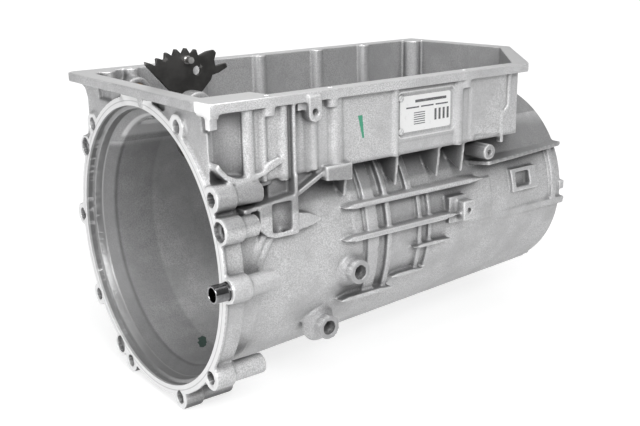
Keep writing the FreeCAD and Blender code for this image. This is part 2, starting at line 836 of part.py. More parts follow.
def pawl_carriers():
    """Bosses inside the rear wall for the pawl pin and the guide plate's screws."""
    inside = barrel_length - rear_wall
    start = (inside - pawl_boss_length, pawl_y, pawl_z)
    made = [rod("pawl_pin_boss", 8, start, (1, 0, 0), pawl_boss_length + 2)]
    for index, place in enumerate(GUIDE_SCREWS):
        start = (inside - guide_boss_length, *guide_screw_place(place))
        made.append(rod(f"guide_boss_{index}", 7, start, (1, 0, 0), guide_boss_length + 2))
    return made


def pawl_carrier_holes():
    inside = barrel_length - rear_wall
    start = (inside - pawl_boss_length - 1, pawl_y, pawl_z)
    made = [rod("pawl_pin_hole", pawl_pin_r, start, (1, 0, 0), PIN_SEAT + 1)]
    for index, place in enumerate(GUIDE_SCREWS):
        start = (inside - guide_boss_length - 1, *guide_screw_place(place))
        made.append(rod(f"guide_hole_{index}", guide_screw_r, start, (1, 0, 0), PIN_SEAT + 1))
    return made


def build_housing():
    """The one-piece casting: outer forms joined, then hollowed and drilled."""
    walls = join("sump_outer", sump_box() + [front_plate()])
    box = cut("sump_shell", walls, [sump_hollow()] + wall_pockets())
    outer = join("housing_outer", [barrel(), box] + flange_lugs() + front_blocks() + wall_columns())
    near = join("near_forms", near_wall_ribs() + [label_frame()] + barrel_fins() + barrel_bands() + gussets())
    extra = join("low_forms", port_bosses() + rear_side_features() + low_ribs() + slanted_ribs())
    solid = join("housing_solid", [outer, near, extra] + inner_columns())
    hollow = cut("housing_hollow", solid, [barrel_hollow(), ring_groove()])
    inner = join("housing_inner", [hollow] + shaft_supports() + pawl_carriers())
    tools = (flange_holes() + front_recesses() + near_wall_cuts() + port_holes() + rear_side_cuts()
             + crown_windows() + shaft_bores() + pawl_carrier_holes() + pan_screw_holes())
    return cut("housing", inner, tools)


def ring(name, outer_r, inner_r, start, direction, length):
    """A plain ring: a round bar with a coaxial bore."""
    reach = V(*direction)
    behind = tuple(place - step for place, step in zip(start, (reach.x, reach.y, reach.z)))
    outer = rod(f"{name}_outer", outer_r, start, direction, length)
    inner = rod(f"{name}_inner", inner_r, behind, direction, length + 2)
    return cut(name, outer, [inner])


def dowel_sleeve():
    side, height = on_circle(DOWELS[0][0], hole_circle_r)
    start = (dowel_seat - dowel_length - seat_gap, side, height)
    sleeve = ring("dowel_sleeve_bar", dowel_r, dowel_bore_r, start, (1, 0, 0), dowel_length)
    groove = (-0.4, side, height)
    relief = ring("dowel_relief", dowel_r + 1, dowel_r - relief_depth, groove, (1, 0, 0), relief_width)
    return cut("dowel_sleeve", sleeve, [relief])


def identification_label():
    """Bare adhesive plate in the recess of the near wall."""
    floor = near_wall_y + label_sink
    along = (label_x + label_margin, label_x + label_length - label_margin)
    upright = (label_z + label_margin, label_z + label_height - label_margin)
    return block("identification_label", along, (floor - label_thickness, floor), upright)


def output_pieces():
    """Bearing cup, its snap ring and the oil seal of the rear bore."""
    seat_end = barrel_length - rear_wall - 12 + bearing_seat
    cup_start = seat_end - cup_width
    ring("bearing_cup", bearing_r, bearing_r - cup_wall, (cup_start, 0, 0), (1, 0, 0), cup_width)
    ring("bearing_snap_ring", bearing_r + 1.2, bearing_r - 3, (cup_start - 2.8, 0, 0), (1, 0, 0), 1.6)
    seal_start = barrel_length + hub_length - seal_depth + seat_gap
    lip = turned("output_seal", (
        (seal_start, seal_r),
        (seal_start, seal_r - 8),
        (seal_start + 3, seal_r - 9),
        (seal_start + 5, seal_r - 9),
        (seal_start + 6, seal_r - 3),
        (seal_start + 10, seal_r - 3),
        (seal_start + 10, seal_r),
    ))
    return lip


def shaft_end(setback):
    """Inner end of the selector shaft, set back from the end of its bush."""
    return PEDESTAL[1] - bush_length + setback


def selector_shaft():
    """Round shaft with a flatted outer end and a cross hole for the lock pin."""
    start = shaft_end(1)
    tip_start = far_wall_y + shaft_reach
    bar = rod("shaft_bar", shaft_r, (shaft_x, start, shaft_z), (0, 1, 0), tip_start - start)
    end = rod("shaft_tip", shaft_r - 1, (shaft_x, tip_start, shaft_z), (0, 1, 0), shaft_tip_length)
    top = (shaft_z + shaft_r - 2, shaft_z + shaft_r + 1)
    low = (shaft_z - shaft_r - 1, shaft_z - shaft_r + 2)
    across = (shaft_x - shaft_r - 1, shaft_x + shaft_r + 1)
    tip = (tip_start, tip_start + shaft_tip_length + 1)
    flats = [block("shaft_flat_top", across, tip, top), block("shaft_flat_low", across, tip, low)]
    pin_hole = rod("shaft_pin_hole", lock_pin_r, (shaft_x, lock_pin_y, shaft_z - 20), (0, 0, 1), 40)
    groove = (shaft_x, far_wall_y + 9, shaft_z)
    relief = ring("shaft_relief", shaft_r + 1, shaft_r - relief_depth, groove, (0, 1, 0), relief_width)
    return cut("selector_shaft", join("shaft_form", [bar, end]), flats + [pin_hole, relief])


def shaft_rings():
    """Bushes at both ends of the shaft and its oil seal in the far wall."""
    inner = shaft_r + running_gap
    outer = shaft_r + bush_wall
    across = (0, 1, 0)
    seal_start = far_wall_y - 1 + seat_gap
    ring("near_bush", outer, inner, (shaft_x, PEDESTAL[1] - bush_length, shaft_z), across, bush_length)
    ring("far_bush", outer, inner, (shaft_x, far_wall_y - 24, shaft_z), across, bush_length + 6)
    ring("shaft_seal", seal_ring_r, inner, (shaft_x, seal_start, shaft_z), across, seal_ring_width)


def polar(angle, radius):
    """Place of an outline corner of the detent plate, from the shaft's centre."""
    return shaft_x + radius * cosine(angle), shaft_z + radius * sine(angle)


def detent_plate():
    """Sector plate with detent teeth, stop lobe, hooked arm and the ear of the parking rod."""
    first = 121
    corners = [polar(160, 13), polar(140, 18), polar(134.5, 55), polar(132.5, 58), polar(130, 53.5)]
    for tooth in range(5):
        peak = first - tooth * tooth_pitch
        corners.append(polar(peak + 6.4, detent_r - tooth_depth + 0.4))
        corners.append(polar(peak + 4.4, detent_r - tooth_depth))
        corners.append(polar(peak + 0.9, detent_r))
        corners.append(polar(peak - 0.9, detent_r))
    corners += [polar(69, 47.5), polar(66.5, 48.2), polar(60, 54.5), polar(54, 59.5), polar(50.5, 58.5),
                polar(48, 52), polar(42, 48), polar(35.5, 59), polar(31.5, 58), polar(33, 47), polar(37, 40),
                polar(33, 36), polar(19, 16.5), polar(0, 13)]
    eye_z = shaft_z - rod_arm
    corners += [(shaft_x + 11, eye_z + 8), (shaft_x + 9, eye_z - 3), (shaft_x + 4, eye_z - 10),
                (shaft_x - 4, eye_z - 10), (shaft_x - 9, eye_z - 3), (shaft_x - 11, eye_z + 8)]
    plate = slab("sector", "XZ_Plane", corners, plate_y + plate_thickness / 2, plate_thickness)
    hub = rod("plate_hub", 13, (shaft_x, plate_y, shaft_z), (0, 1, 0), 16)
    solid = join("sector_and_hub", [plate, hub])
    side = plate_y - 10
    holes = [rod("plate_bore", shaft_r, (shaft_x, side, shaft_z), (0, 1, 0), 40)]
    holes.append(rod("rod_eye", rod_r + eye_clearance, (shaft_x, side, eye_z), (0, 1, 0), 20))
    window = polar(63, 33.5)
    holes.append(rod("plate_window", 4.6, (window[0], side, window[1]), (0, 1, 0), 20))
    stud = polar(84, 41.5)
    holes.append(rod("stud_hole", stud_r, (stud[0], side, stud[1]), (0, 1, 0), 20))
    holes.append(rod("hub_pin_hole", lock_pin_r, (shaft_x, lock_pin_y, shaft_z - 20), (0, 0, 1), 40))
    return cut("detent_plate", solid, holes)


def plate_pins():
    """Lock pin through hub and shaft, and the stud that drives the selector valve."""
    rod("lock_pin", lock_pin_r, (shaft_x, lock_pin_y, shaft_z - 12), (0, 0, 1), 24)
    stud = polar(84, 41.5)
    foot = plate_y + plate_thickness / 2
    shank = rod("stud_shank", stud_r, (stud[0], foot, stud[1]), (0, -1, 0), plate_thickness + 9)
    head = rod("stud_head", stud_r + 0.8, (stud[0], foot - plate_thickness, stud[1]), (0, -1, 0), 2)
    return join("valve_pin", [shank, head])


def parking_rod():
    """Bent rod: its short end passes through the plate's eye, its long end carries the cone."""
    bend = 4.5
    x = shaft_x.number
    z = (shaft_z - rod_arm).number
    side = rod_y.number
    near_end = (plate_y - plate_thickness / 2).number - 4
    far_end = cone_middle().number + cone_half_length.number + 1.5
    middle = V(x + bend * (1 - math.cos(math.pi / 4)), side - bend * (1 - math.sin(math.pi / 4)), z)
    path = Part.Wire([
        Part.LineSegment(V(x, near_end, z), V(x, side - bend, z)).toShape(),
        Part.Arc(V(x, side - bend, z), middle, V(x + bend, side, z)).toShape(),
        Part.LineSegment(V(x + bend, side, z), V(far_end, side, z)).toShape(),
    ])
    section = Part.Wire([Part.Circle(V(x, near_end, z), V(0, 1, 0), rod_r.number).toShape()])
    item = document.addObject("Part::Feature", "rod_wire")
    item.Shape = path.makePipeShell([section], True, False)
    collar_start = cone_middle() - cone_half_length - 32
    collar = rod("rod_collar", rod_r + 2.5, (collar_start, rod_y, shaft_z - rod_arm), (1, 0, 0), 3)
    return join("parking_rod", [item, collar])


def cone_middle():
    """Middle of the cone at rest, which is the middle of the pawl."""
    return barrel_length - rear_wall - pawl_boss_length - seat_gap - pawl_thickness / 2


def rod_pieces():
    """Retaining clip, cone and spring of the parking rod."""
    height = shaft_z - rod_arm
    ring("rod_clip", rod_r + 3, rod_r, (shaft_x, plate_y - plate_thickness / 2 - 1.7, height), (0, 1, 0), 1.2)
    start = cone_middle() - cone_half_length
    wide = cone_middle_r + cone_slope * cone_half_length
    thin = cone_middle_r - cone_slope * cone_half_length
    solid = taper("cone_form", wide, thin, (start, rod_y, height), (1, 0, 0), cone_half_length * 2)
    bore = rod("cone_bore", rod_r, (start - 1, rod_y, height), (1, 0, 0), cone_half_length * 2 + 2)
    cut("park_cone", solid, [bore])
    coil("cone_spring", rod_r + spring_wire_r + 0.6, 4.1, 28.2 - 2 * spring_wire_r.number,
         (start - 28.4 + spring_wire_r, rod_y, height))


def coil(name, radius, pitch, length, start):
    """A round-wire spring along X."""
    radius = num(radius)
    wire = num(spring_wire_r)
    helix = Part.makeHelix(pitch, length, radius)
    section = Part.Wire([Part.Circle(V(radius, 0, 0), V(0, 1, 0), wire).toShape()])
    shape = Part.Wire(helix).makePipeShell([section], True, True)
    item = document.addObject("Part::Feature", name)
    item.Shape = shape
    along_x = FreeCAD.Rotation(V(0, 0, 1), V(1, 0, 0))
    item.Placement = FreeCAD.Placement(V(*[num(value) for value in start]), along_x)
    return item


def guide_pieces():
    """Guide plate of the cone and its two screws."""
    front = barrel_length - rear_wall - guide_boss_length - guide_thickness
    height = shaft_z - rod_arm
    first, second = [guide_screw_place(place) for place in GUIDE_SCREWS]
    points = ((first[0] - 7, first[1] - 6), (rod_y - 8, height - 12), (rod_y + 8, height - 13),
              (second[0] + 2, second[1] - 8), (second[0] + 8, second[1] + 2), (rod_y + 8, height + 9.5),
              (rod_y, height + 11.2), (rod_y - 8, height + 12), (first[0] - 2, first[1] + 7),
              (first[0] - 7, first[1] + 4))
    plate = slab("guide_form", "YZ_Plane", points, front, guide_thickness)
    holes = [rod("guide_eye", guide_hole_r, (front - 1, rod_y, height), (1, 0, 0), guide_thickness + 2)]
    screws = []
    for index, place in enumerate((first, second)):
        holes.append(rod(f"guide_screw_hole_{index}", guide_screw_r + 0.3, (front - 1, *place), (1, 0, 0),
                         guide_thickness + 2))
        shank = rod(f"screw_shank_{index}", guide_screw_r, (front - 4, *place), (1, 0, 0), 18)
        head = rod(f"screw_head_{index}", 5.5, (front - 4.5, *place), (1, 0, 0), 4.5)
        screws.append(join(f"screw_{index}", [shank, head]))
    cut("guide_plate", plate, holes)
    group = document.addObject("Part::Compound", "guide_screws")
    group.Links = screws
    return group


def park_pawl():
    """Locking pawl with its eye, arm and tooth, and the pin and spring that carry it."""
    back = barrel_length - rear_wall - pawl_boss_length - seat_gap
    front = back - pawl_thickness
    top = shaft_z - rod_arm - cone_middle_r - 1.3
    points = ((pawl_y, pawl_z + 9), (pawl_y + 12, top + 3), (pawl_y + 40, top), (rod_y + 9, top),
              (rod_y + 12, top - 4), (rod_y + 8, top - 10), (12, top - 13), (8, top - 23), (-4, top - 23),
              (-8, top - 13), (pawl_y + 8, pawl_z - 7), (pawl_y, pawl_z - 9))
    arm = slab("pawl_arm", "YZ_Plane", points, front, pawl_thickness)
    eye = rod("pawl_eye", 10, (front, pawl_y, pawl_z), (1, 0, 0), pawl_thickness)
    start = (front - 1, pawl_y, pawl_z)
    bore = rod("pawl_bore", pawl_pin_r + running_gap, start, (1, 0, 0), pawl_thickness + 2)
    cut("park_pawl", join("pawl_solid", [arm, eye]), [bore])
    pin_end = back + seat_gap + PIN_SEAT - seat_gap
    pin_start = front - 14
    shank = rod("pin_shank", pawl_pin_r, (pin_start, pawl_y, pawl_z), (1, 0, 0), pin_end - pin_start)
    head = rod("pin_head", pawl_pin_r + 3.5, (pin_start - 2, pawl_y, pawl_z), (1, 0, 0), 2)
    join("pawl_pin", [shank, head])
    coil("pawl_spring", pawl_pin_r + spring_wire_r + 0.4, 2.3, 11.6, (front - 12.8, pawl_y, pawl_z))


NODES = ("housing", "dowel_sleeve", "identification_label", "bearing_cup", "bearing_snap_ring", "output_seal",
         "near_bush", "far_bush", "shaft_seal", "selector_shaft", "detent_plate", "lock_pin", "valve_pin",
         "parking_rod", "rod_clip", "park_cone", "cone_spring", "guide_plate", "guide_screws", "park_pawl",
         "pawl_pin", "pawl_spring")


def write_parts():
    """Check every object, then write each piece to its own file."""
    document.recompute()
    for item in document.Objects:
        if "Invalid" in item.State or "Error" in item.State:
            raise RuntimeError(f"{item.Name} failed: {item.State}")
    os.makedirs("parts", exist_ok=True)
    for name in NODES:
        item = document.getObject(name)
        item.Label = name
        shape = item.Shape
        if shape.isNull() or not shape.isValid():
            raise RuntimeError(f"{name} has no valid shape")
        print(name, len(shape.Solids), round(shape.Volume))
        shape.exportStep(f"parts/{name}.step")


build_housing()
dowel_sleeve()
identification_label()
output_pieces()
selector_shaft()
shaft_rings()
detent_plate()
plate_pins()
parking_rod()
rod_pieces()
guide_pieces()
park_pawl()
write_parts()
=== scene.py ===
"""Looks of a bare cast gearbox housing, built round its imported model."""

import logging
import math
from dataclasses import dataclass
from enum import Enum
from functools import cached_property

import bmesh
import bpy
import numpy as np
from mathutils import Matrix, Vector


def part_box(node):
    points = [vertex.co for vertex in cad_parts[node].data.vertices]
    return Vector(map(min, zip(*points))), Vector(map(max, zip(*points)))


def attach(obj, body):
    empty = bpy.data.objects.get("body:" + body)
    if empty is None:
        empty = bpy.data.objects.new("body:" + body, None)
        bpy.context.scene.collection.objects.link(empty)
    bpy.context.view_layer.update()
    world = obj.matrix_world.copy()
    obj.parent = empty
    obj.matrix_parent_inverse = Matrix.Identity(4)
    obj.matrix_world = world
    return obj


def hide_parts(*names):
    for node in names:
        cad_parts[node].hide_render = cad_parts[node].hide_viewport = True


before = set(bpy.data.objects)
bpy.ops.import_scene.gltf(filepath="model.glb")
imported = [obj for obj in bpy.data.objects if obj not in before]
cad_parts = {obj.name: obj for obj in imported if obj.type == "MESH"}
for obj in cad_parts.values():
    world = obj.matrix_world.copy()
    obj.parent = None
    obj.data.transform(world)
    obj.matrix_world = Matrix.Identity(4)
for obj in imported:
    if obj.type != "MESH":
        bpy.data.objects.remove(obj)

LOG = logging.getLogger("gearbox_housing")


class Slot(Enum):
    """Material slots of the record."""

    CAST = "cast_aluminium"
    DARK = "dark_steel"
    BRIGHT = "bright_steel"
    SPRING = "spring_steel"
    SLEEVE = "sleeve_steel"
    BRONZE = "bronze"
    RUBBER = "seal_rubber"
    FOIL = "label_foil"


class Axis(Enum):
    """Direction of a hole: its own axis first, then the two across it."""

    X = (0, 1, 2)
    Y = (1, 0, 2)


@dataclass(frozen=True)
class HousingSizes:
    """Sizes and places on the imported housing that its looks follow, in metres and degrees."""

    rim: float = 0.154
    near_wall: float = -0.1275
    far_wall: float = 0.1315
    hole_circle: float = 0.1475
    bolt_hole: float = 0.0065
    bolt_angles: tuple = (45.7, 0.5, -34.3, -68.6, -110.2, -139.6, 150.4, 120.5)
    large_hole: float = 0.009
    large_angles: tuple = (32.4, -58.9, 161.3)
    port_hole: float = 0.007
    port_boss: float = 0.0115
    # The barrel's inside at the front, its loss of radius per metre, and how much its mouth flares.
    skin_radius: float = 0.1272
    skin_taper: float = 0.048
    mouth_flare: float = 0.0068
    # Each port's place along the barrel, its height, and how far out its end face lies.
    ports: tuple = ((0.154, -0.0235, 0.137), (0.125, -0.076, 0.125))


SIZES = HousingSizes()


class Region(Enum):
    """Parts of the housing that its finish treats apart, by their borders in metres.

    Two numbers are where a soft border starts and ends. Three are two borders and their softness.
    """

    FRONT_FACE = {"x": (-0.0006, 0.0003, 0.0003), "radius": (0.135, 0.136)}
    FRONT_BORE = {"x": (-0.001, 0.0165, 0.0006), "radius": (0.1312, 0.1365, 0.0004)}
    # BORE_WALL and FACE_GROOVE place painted shade; CORNER_PAD is milled and gets a painted highlight.
    BORE_WALL = {"x": (0.0016, 0.0030), "radius": (0.1372, 0.1367)}
    FACE_GROOVE = {"x": (-0.001, 0.0012, 0.0004), "radius": (0.1402, 0.1410, 0.0003)}
    SUMP_RIM = {"z": (SIZES.rim - 0.0008, SIZES.rim - 0.0003)}
    CORNER_PAD = {"x": (0.0006, 0.0), "y": (-0.1120, -0.1125), "z": (0.1315, 0.132)}
    OUTPUT_BORE = {"x": (0.445, 0.446), "radius": (0.0408, 0.0404)}
    REAR_FACE = {"x": (0.4893, 0.4896)}
    # FRONT_PLATE weakens painted shade; BARREL, BARREL_FRONT, BARREL_CONE, SUMP_INSIDE and BELOW_WALL place
    # painted shade, CROWN painted light. BARREL also bounds the dab in the bore.
    FRONT_PLATE = {"x": (0.020, 0.014), "z": (0.095, 0.105)}
    BARREL = {"x": (0.0168, 0.45, 0.001), "z": (0.088, 0.078)}
    BARREL_FRONT = {"x": (0.018, 0.068, 0.004)}
    BARREL_CONE = {"x": (0.0168, 0.028, 0.003)}
    CROWN = {"x": (0.017, 0.11, 0.004), "z": (0.090, 0.096), "radius": (0.1270, 0.1255)}
    SUMP_INSIDE = {"x": (0.0125, 0.4705, 0.001), "y": (-0.1208, 0.1310, 0.0006), "z": (0.086, 0.1532, 0.0006)}
    BELOW_WALL = {"y": (-0.070, -0.085), "z": (0.052, 0.0800, 0.005)}
    WALL_PAINT = {"y": (-0.1255, -0.126), "z": (0.1035, 0.1245, 0.0006)}
    BARREL_FLOOR = {"z": (-0.09, -0.10)}

    def mask(self, bench: "Bench") -> "Shade":
        """Return 1 within the region, in the finish that is being made."""
        made = 1.0
        for name, borders in self.value.items():
            place = getattr(bench, name)
            made = made * (place.rise(*borders) if len(borders) == 2 else place.within(*borders))
        return made


class Shade:
    """A shader number that arithmetic can be written on."""

    def __init__(self, bench: "Bench", socket: bpy.types.NodeSocket) -> None:
        """Keep the socket and the tree that it belongs to."""
        self.bench = bench
        self.socket = socket

    def _math(self, operation: str, first: object, second: object = 0.0) -> "Shade":
        """Add one Math node and return its result."""
        node = self.bench.node("ShaderNodeMath", {"operation": operation}, {0: first, 1: second})
        return Shade(self.bench, node.outputs[0])

    def __add__(self, other: object) -> "Shade":
        """Return the sum."""
        return self._math("ADD", self, other)

    def __radd__(self, other: object) -> "Shade":
        """Return the sum."""
        return self._math("ADD", other, self)

    def __sub__(self, other: object) -> "Shade":
        """Return the difference."""
        return self._math("SUBTRACT", self, other)

    def __rsub__(self, other: object) -> "Shade":
        """Return the difference from a number."""
        return self._math("SUBTRACT", other, self)

    def __mul__(self, other: object) -> "Shade":
        """Return the product."""
        return self._math("MULTIPLY", self, other)

    def __rmul__(self, other: object) -> "Shade":
        """Return the product."""
        return self._math("MULTIPLY", other, self)

    def __truediv__(self, other: object) -> "Shade":
        """Return the quotient."""
        return self._math("DIVIDE", self, other)

    def __pow__(self, other: object) -> "Shade":
        """Return the power."""
        return self._math("POWER", self, other)

    def larger(self, other: object) -> "Shade":
        """Return the larger of two numbers."""
        return self._math("MAXIMUM", self, other)

    def wave(self) -> "Shade":
        """Return the sine."""
        return self._math("SINE", self)

    def rise(self, low: float, high: float) -> "Shade":
        """Go smoothly from 0 at low to 1 at high, which may lie below low."""
        down = low > high
        ends = (high, low) if down else (low, high)
        node = self.bench.node("ShaderNodeMapRange", {"interpolation_type": "SMOOTHSTEP"},
                               {0: self, 1: ends[0], 2: ends[1], 3: float(down), 4: float(not down)})
        return Shade(self.bench, node.outputs[0])

    def within(self, low: float, high: float, soft: float) -> "Shade":
        """Return 1 between two numbers, with a soft edge of that width outside them."""
        return self.rise(low - soft, low) * self.rise(high + soft, high)


class Graph:
    """A node tree that is filled by the script."""

    def __init__(self, tree: bpy.types.NodeTree) -> None:
        """Keep the tree and empty it."""
        self.tree = tree
        self.tree.nodes.clear()

    def node(self, kind: str, settings: dict | None = None, inputs: dict | None = None) -> bpy.types.Node:
        """Add a node of any type.

        Args:
            kind: The node's type.
            settings: Its settings, set first.
            inputs: Values or links of its sockets, by name or number.

        Returns:
            The node.
        """
        made = self.tree.nodes.new(kind)
        for key, value in (settings or {}).items():
            setattr(made, key, value)
        for key, value in (inputs or {}).items():
            source = value.socket if isinstance(value, Shade) else value
            if isinstance(source, bpy.types.NodeSocket):
                self.tree.links.new(source, made.inputs[key])
            else:
                made.inputs[key].default_value = source
        return made


class Bench(Graph):
    """The node tree of one finish while it is made."""

    def __init__(self, name: str) -> None:
        """Start an empty material."""
        self.material = bpy.data.materials.new(name)
        self.material.use_nodes = True
        super().__init__(self.material.node_tree)
        self.place = self.node("ShaderNodeTexCoord").outputs["Object"]
        axes = self.node("ShaderNodeSeparateXYZ", None, {0: self.place})
        self.x, self.y, self.z = (Shade(self, socket) for socket in axes.outputs)

    @cached_property
    def radius(self) -> Shade:
        """Distance from the axis of the housing's bore."""
        return self.distance(self.y, self.z)

    def noise(self, size: float, detail: float = 2, roughness: float = 0.5,
              stretch: tuple | None = None) -> Shade:
        """Return noise from 0 to 1.

        Args:
            size: Size of its blotches in metres.
            detail: Number of finer layers.
            roughness: Share of the finer layers.
            stretch: Scale along each axis, if not even.

        Returns:
            The noise.
        """
        place = self.place
        if stretch:
            place = self.node("ShaderNodeMapping", None, {0: place, 3: stretch}).outputs[0]
        made = self.node("ShaderNodeTexNoise", None,
                         {"Vector": place, "Scale": 1 / size, "Detail": detail, "Roughness": roughness})
        return Shade(self, made.outputs[0])

    def distance(self, first: Shade, second: Shade, centre: tuple = (0, 0)) -> Shade:
        """Return the distance from an axis, from two coordinates and its place in them."""
        return ((first - centre[0]) ** 2 + (second - centre[1]) ** 2) ** 0.5

    def edges(self) -> Shade:
        """Return how far the surface stands out (above 0.5) or lies in (below 0.5)."""
        return Shade(self, self.node("ShaderNodeNewGeometry").outputs["Pointiness"])

    def openness(self, distance: float) -> Shade:
        """Return 1 on open faces and less in corners and gaps of up to that width."""
        made = self.node("ShaderNodeAmbientOcclusion", {"samples": 8}, {"Distance": distance})
        return Shade(self, made.outputs["AO"])

    def mix(self, share: object, first: object, second: object) -> bpy.types.NodeSocket:
        """Mix two colours, or links to them, by the share of the second one."""
        pair = [(*c, 1) if isinstance(c, tuple) else c for c in (first, second)]
        mixer = self.node("ShaderNodeMix", {"data_type": "RGBA"}, {0: share, 6: pair[0], 7: pair[1]})
        return mixer.outputs[2]

    def layers(self, colour: object, *coats: tuple) -> object:
        """Lay colours over a first one.

        Args:
            colour: The first colour or a link to one.
            coats: Share and colour of each coat, in the order they are laid.

        Returns:
            A link to the last colour.
        """
        for share, coat in coats:
            colour = self.mix(share, colour, coat)
        return colour

    def bump(self, height: Shade, depth: float) -> bpy.types.NodeSocket:
        """Return the normal of a surface with that height, where 1 stands depth metres out."""
        made = self.node("ShaderNodeBump", None, {"Strength": 1.0, "Distance": depth, "Height": height})
        return made.outputs[0]

    def surface(self, base: object, roughness: object, metallic: object = 0.0,
                normal: bpy.types.NodeSocket | None = None, **fixed: float) -> bpy.types.Material:
        """Finish the material.

        Args:
            base: Colour.
            roughness: Roughness.
            metallic: How metallic it is.
            normal: Normal from a bump, if any.
            fixed: Other sockets, with _ for a space in their names.

        Returns:
            The material.
        """
        inputs = {"Base Color": (*base, 1) if isinstance(base, tuple) else base,
                  "Roughness": roughness, "Metallic": metallic}
        if normal is not None:
            inputs["Normal"] = normal
        inputs.update({key.replace("_", " "): value for key, value in fixed.items()})
        shader = self.node("ShaderNodeBsdfPrincipled", None, inputs)
        self.node("ShaderNodeOutputMaterial", None, {0: shader.outputs[0]})
        return self.material


@dataclass(frozen=True)
class PaintDabs:
    """The two dabs of green paint: one down the near wall, one on the floor of the bore."""

    wall_top: float = 0.1245
    wall_left: float = 0.1597
    wall_right: float = 0.1655
    slant: float = 0.24
    taper: float = 0.4
    ragged: float = 0.0012
    bore_centre: tuple = (0.0636, 0.0147)
    bore_direction: tuple = (0.51, 0.86)
    bore_half_length: float = 0.0155
    bore_half_width: float = 0.0056

    def on_wall(self, bench: Bench) -> Shade:
        """Return 1 on the slanting dab, which narrows downwards."""
        edge = bench.noise(0.002, 3) * self.ragged - self.ragged / 2
        lean = (self.wall_top - bench.z) * self.slant
        left = (bench.x - lean - self.wall_left + edge).rise(0, 0.0004)
        right = (bench.x - lean * self.taper - self.wall_right + edge).rise(0, -0.0004)
        return left * right * Region.WALL_PAINT.mask(bench)

    def in_bore(self, bench: Bench) -> Shade:
        """Return 1 on the ragged oval dab."""
        across, along = bench.x - self.bore_centre[0], bench.y - self.bore_centre[1]
        first, second = self.bore_direction
        length = (across * first + along * second) / self.bore_half_length
        width = (across * second - along * first) / self.bore_half_width
        away = bench.distance(length, width) + bench.noise(0.006, 3) * 0.9
        return away.rise(1.28, 1.20) * Region.BARREL_FLOOR.mask(bench)


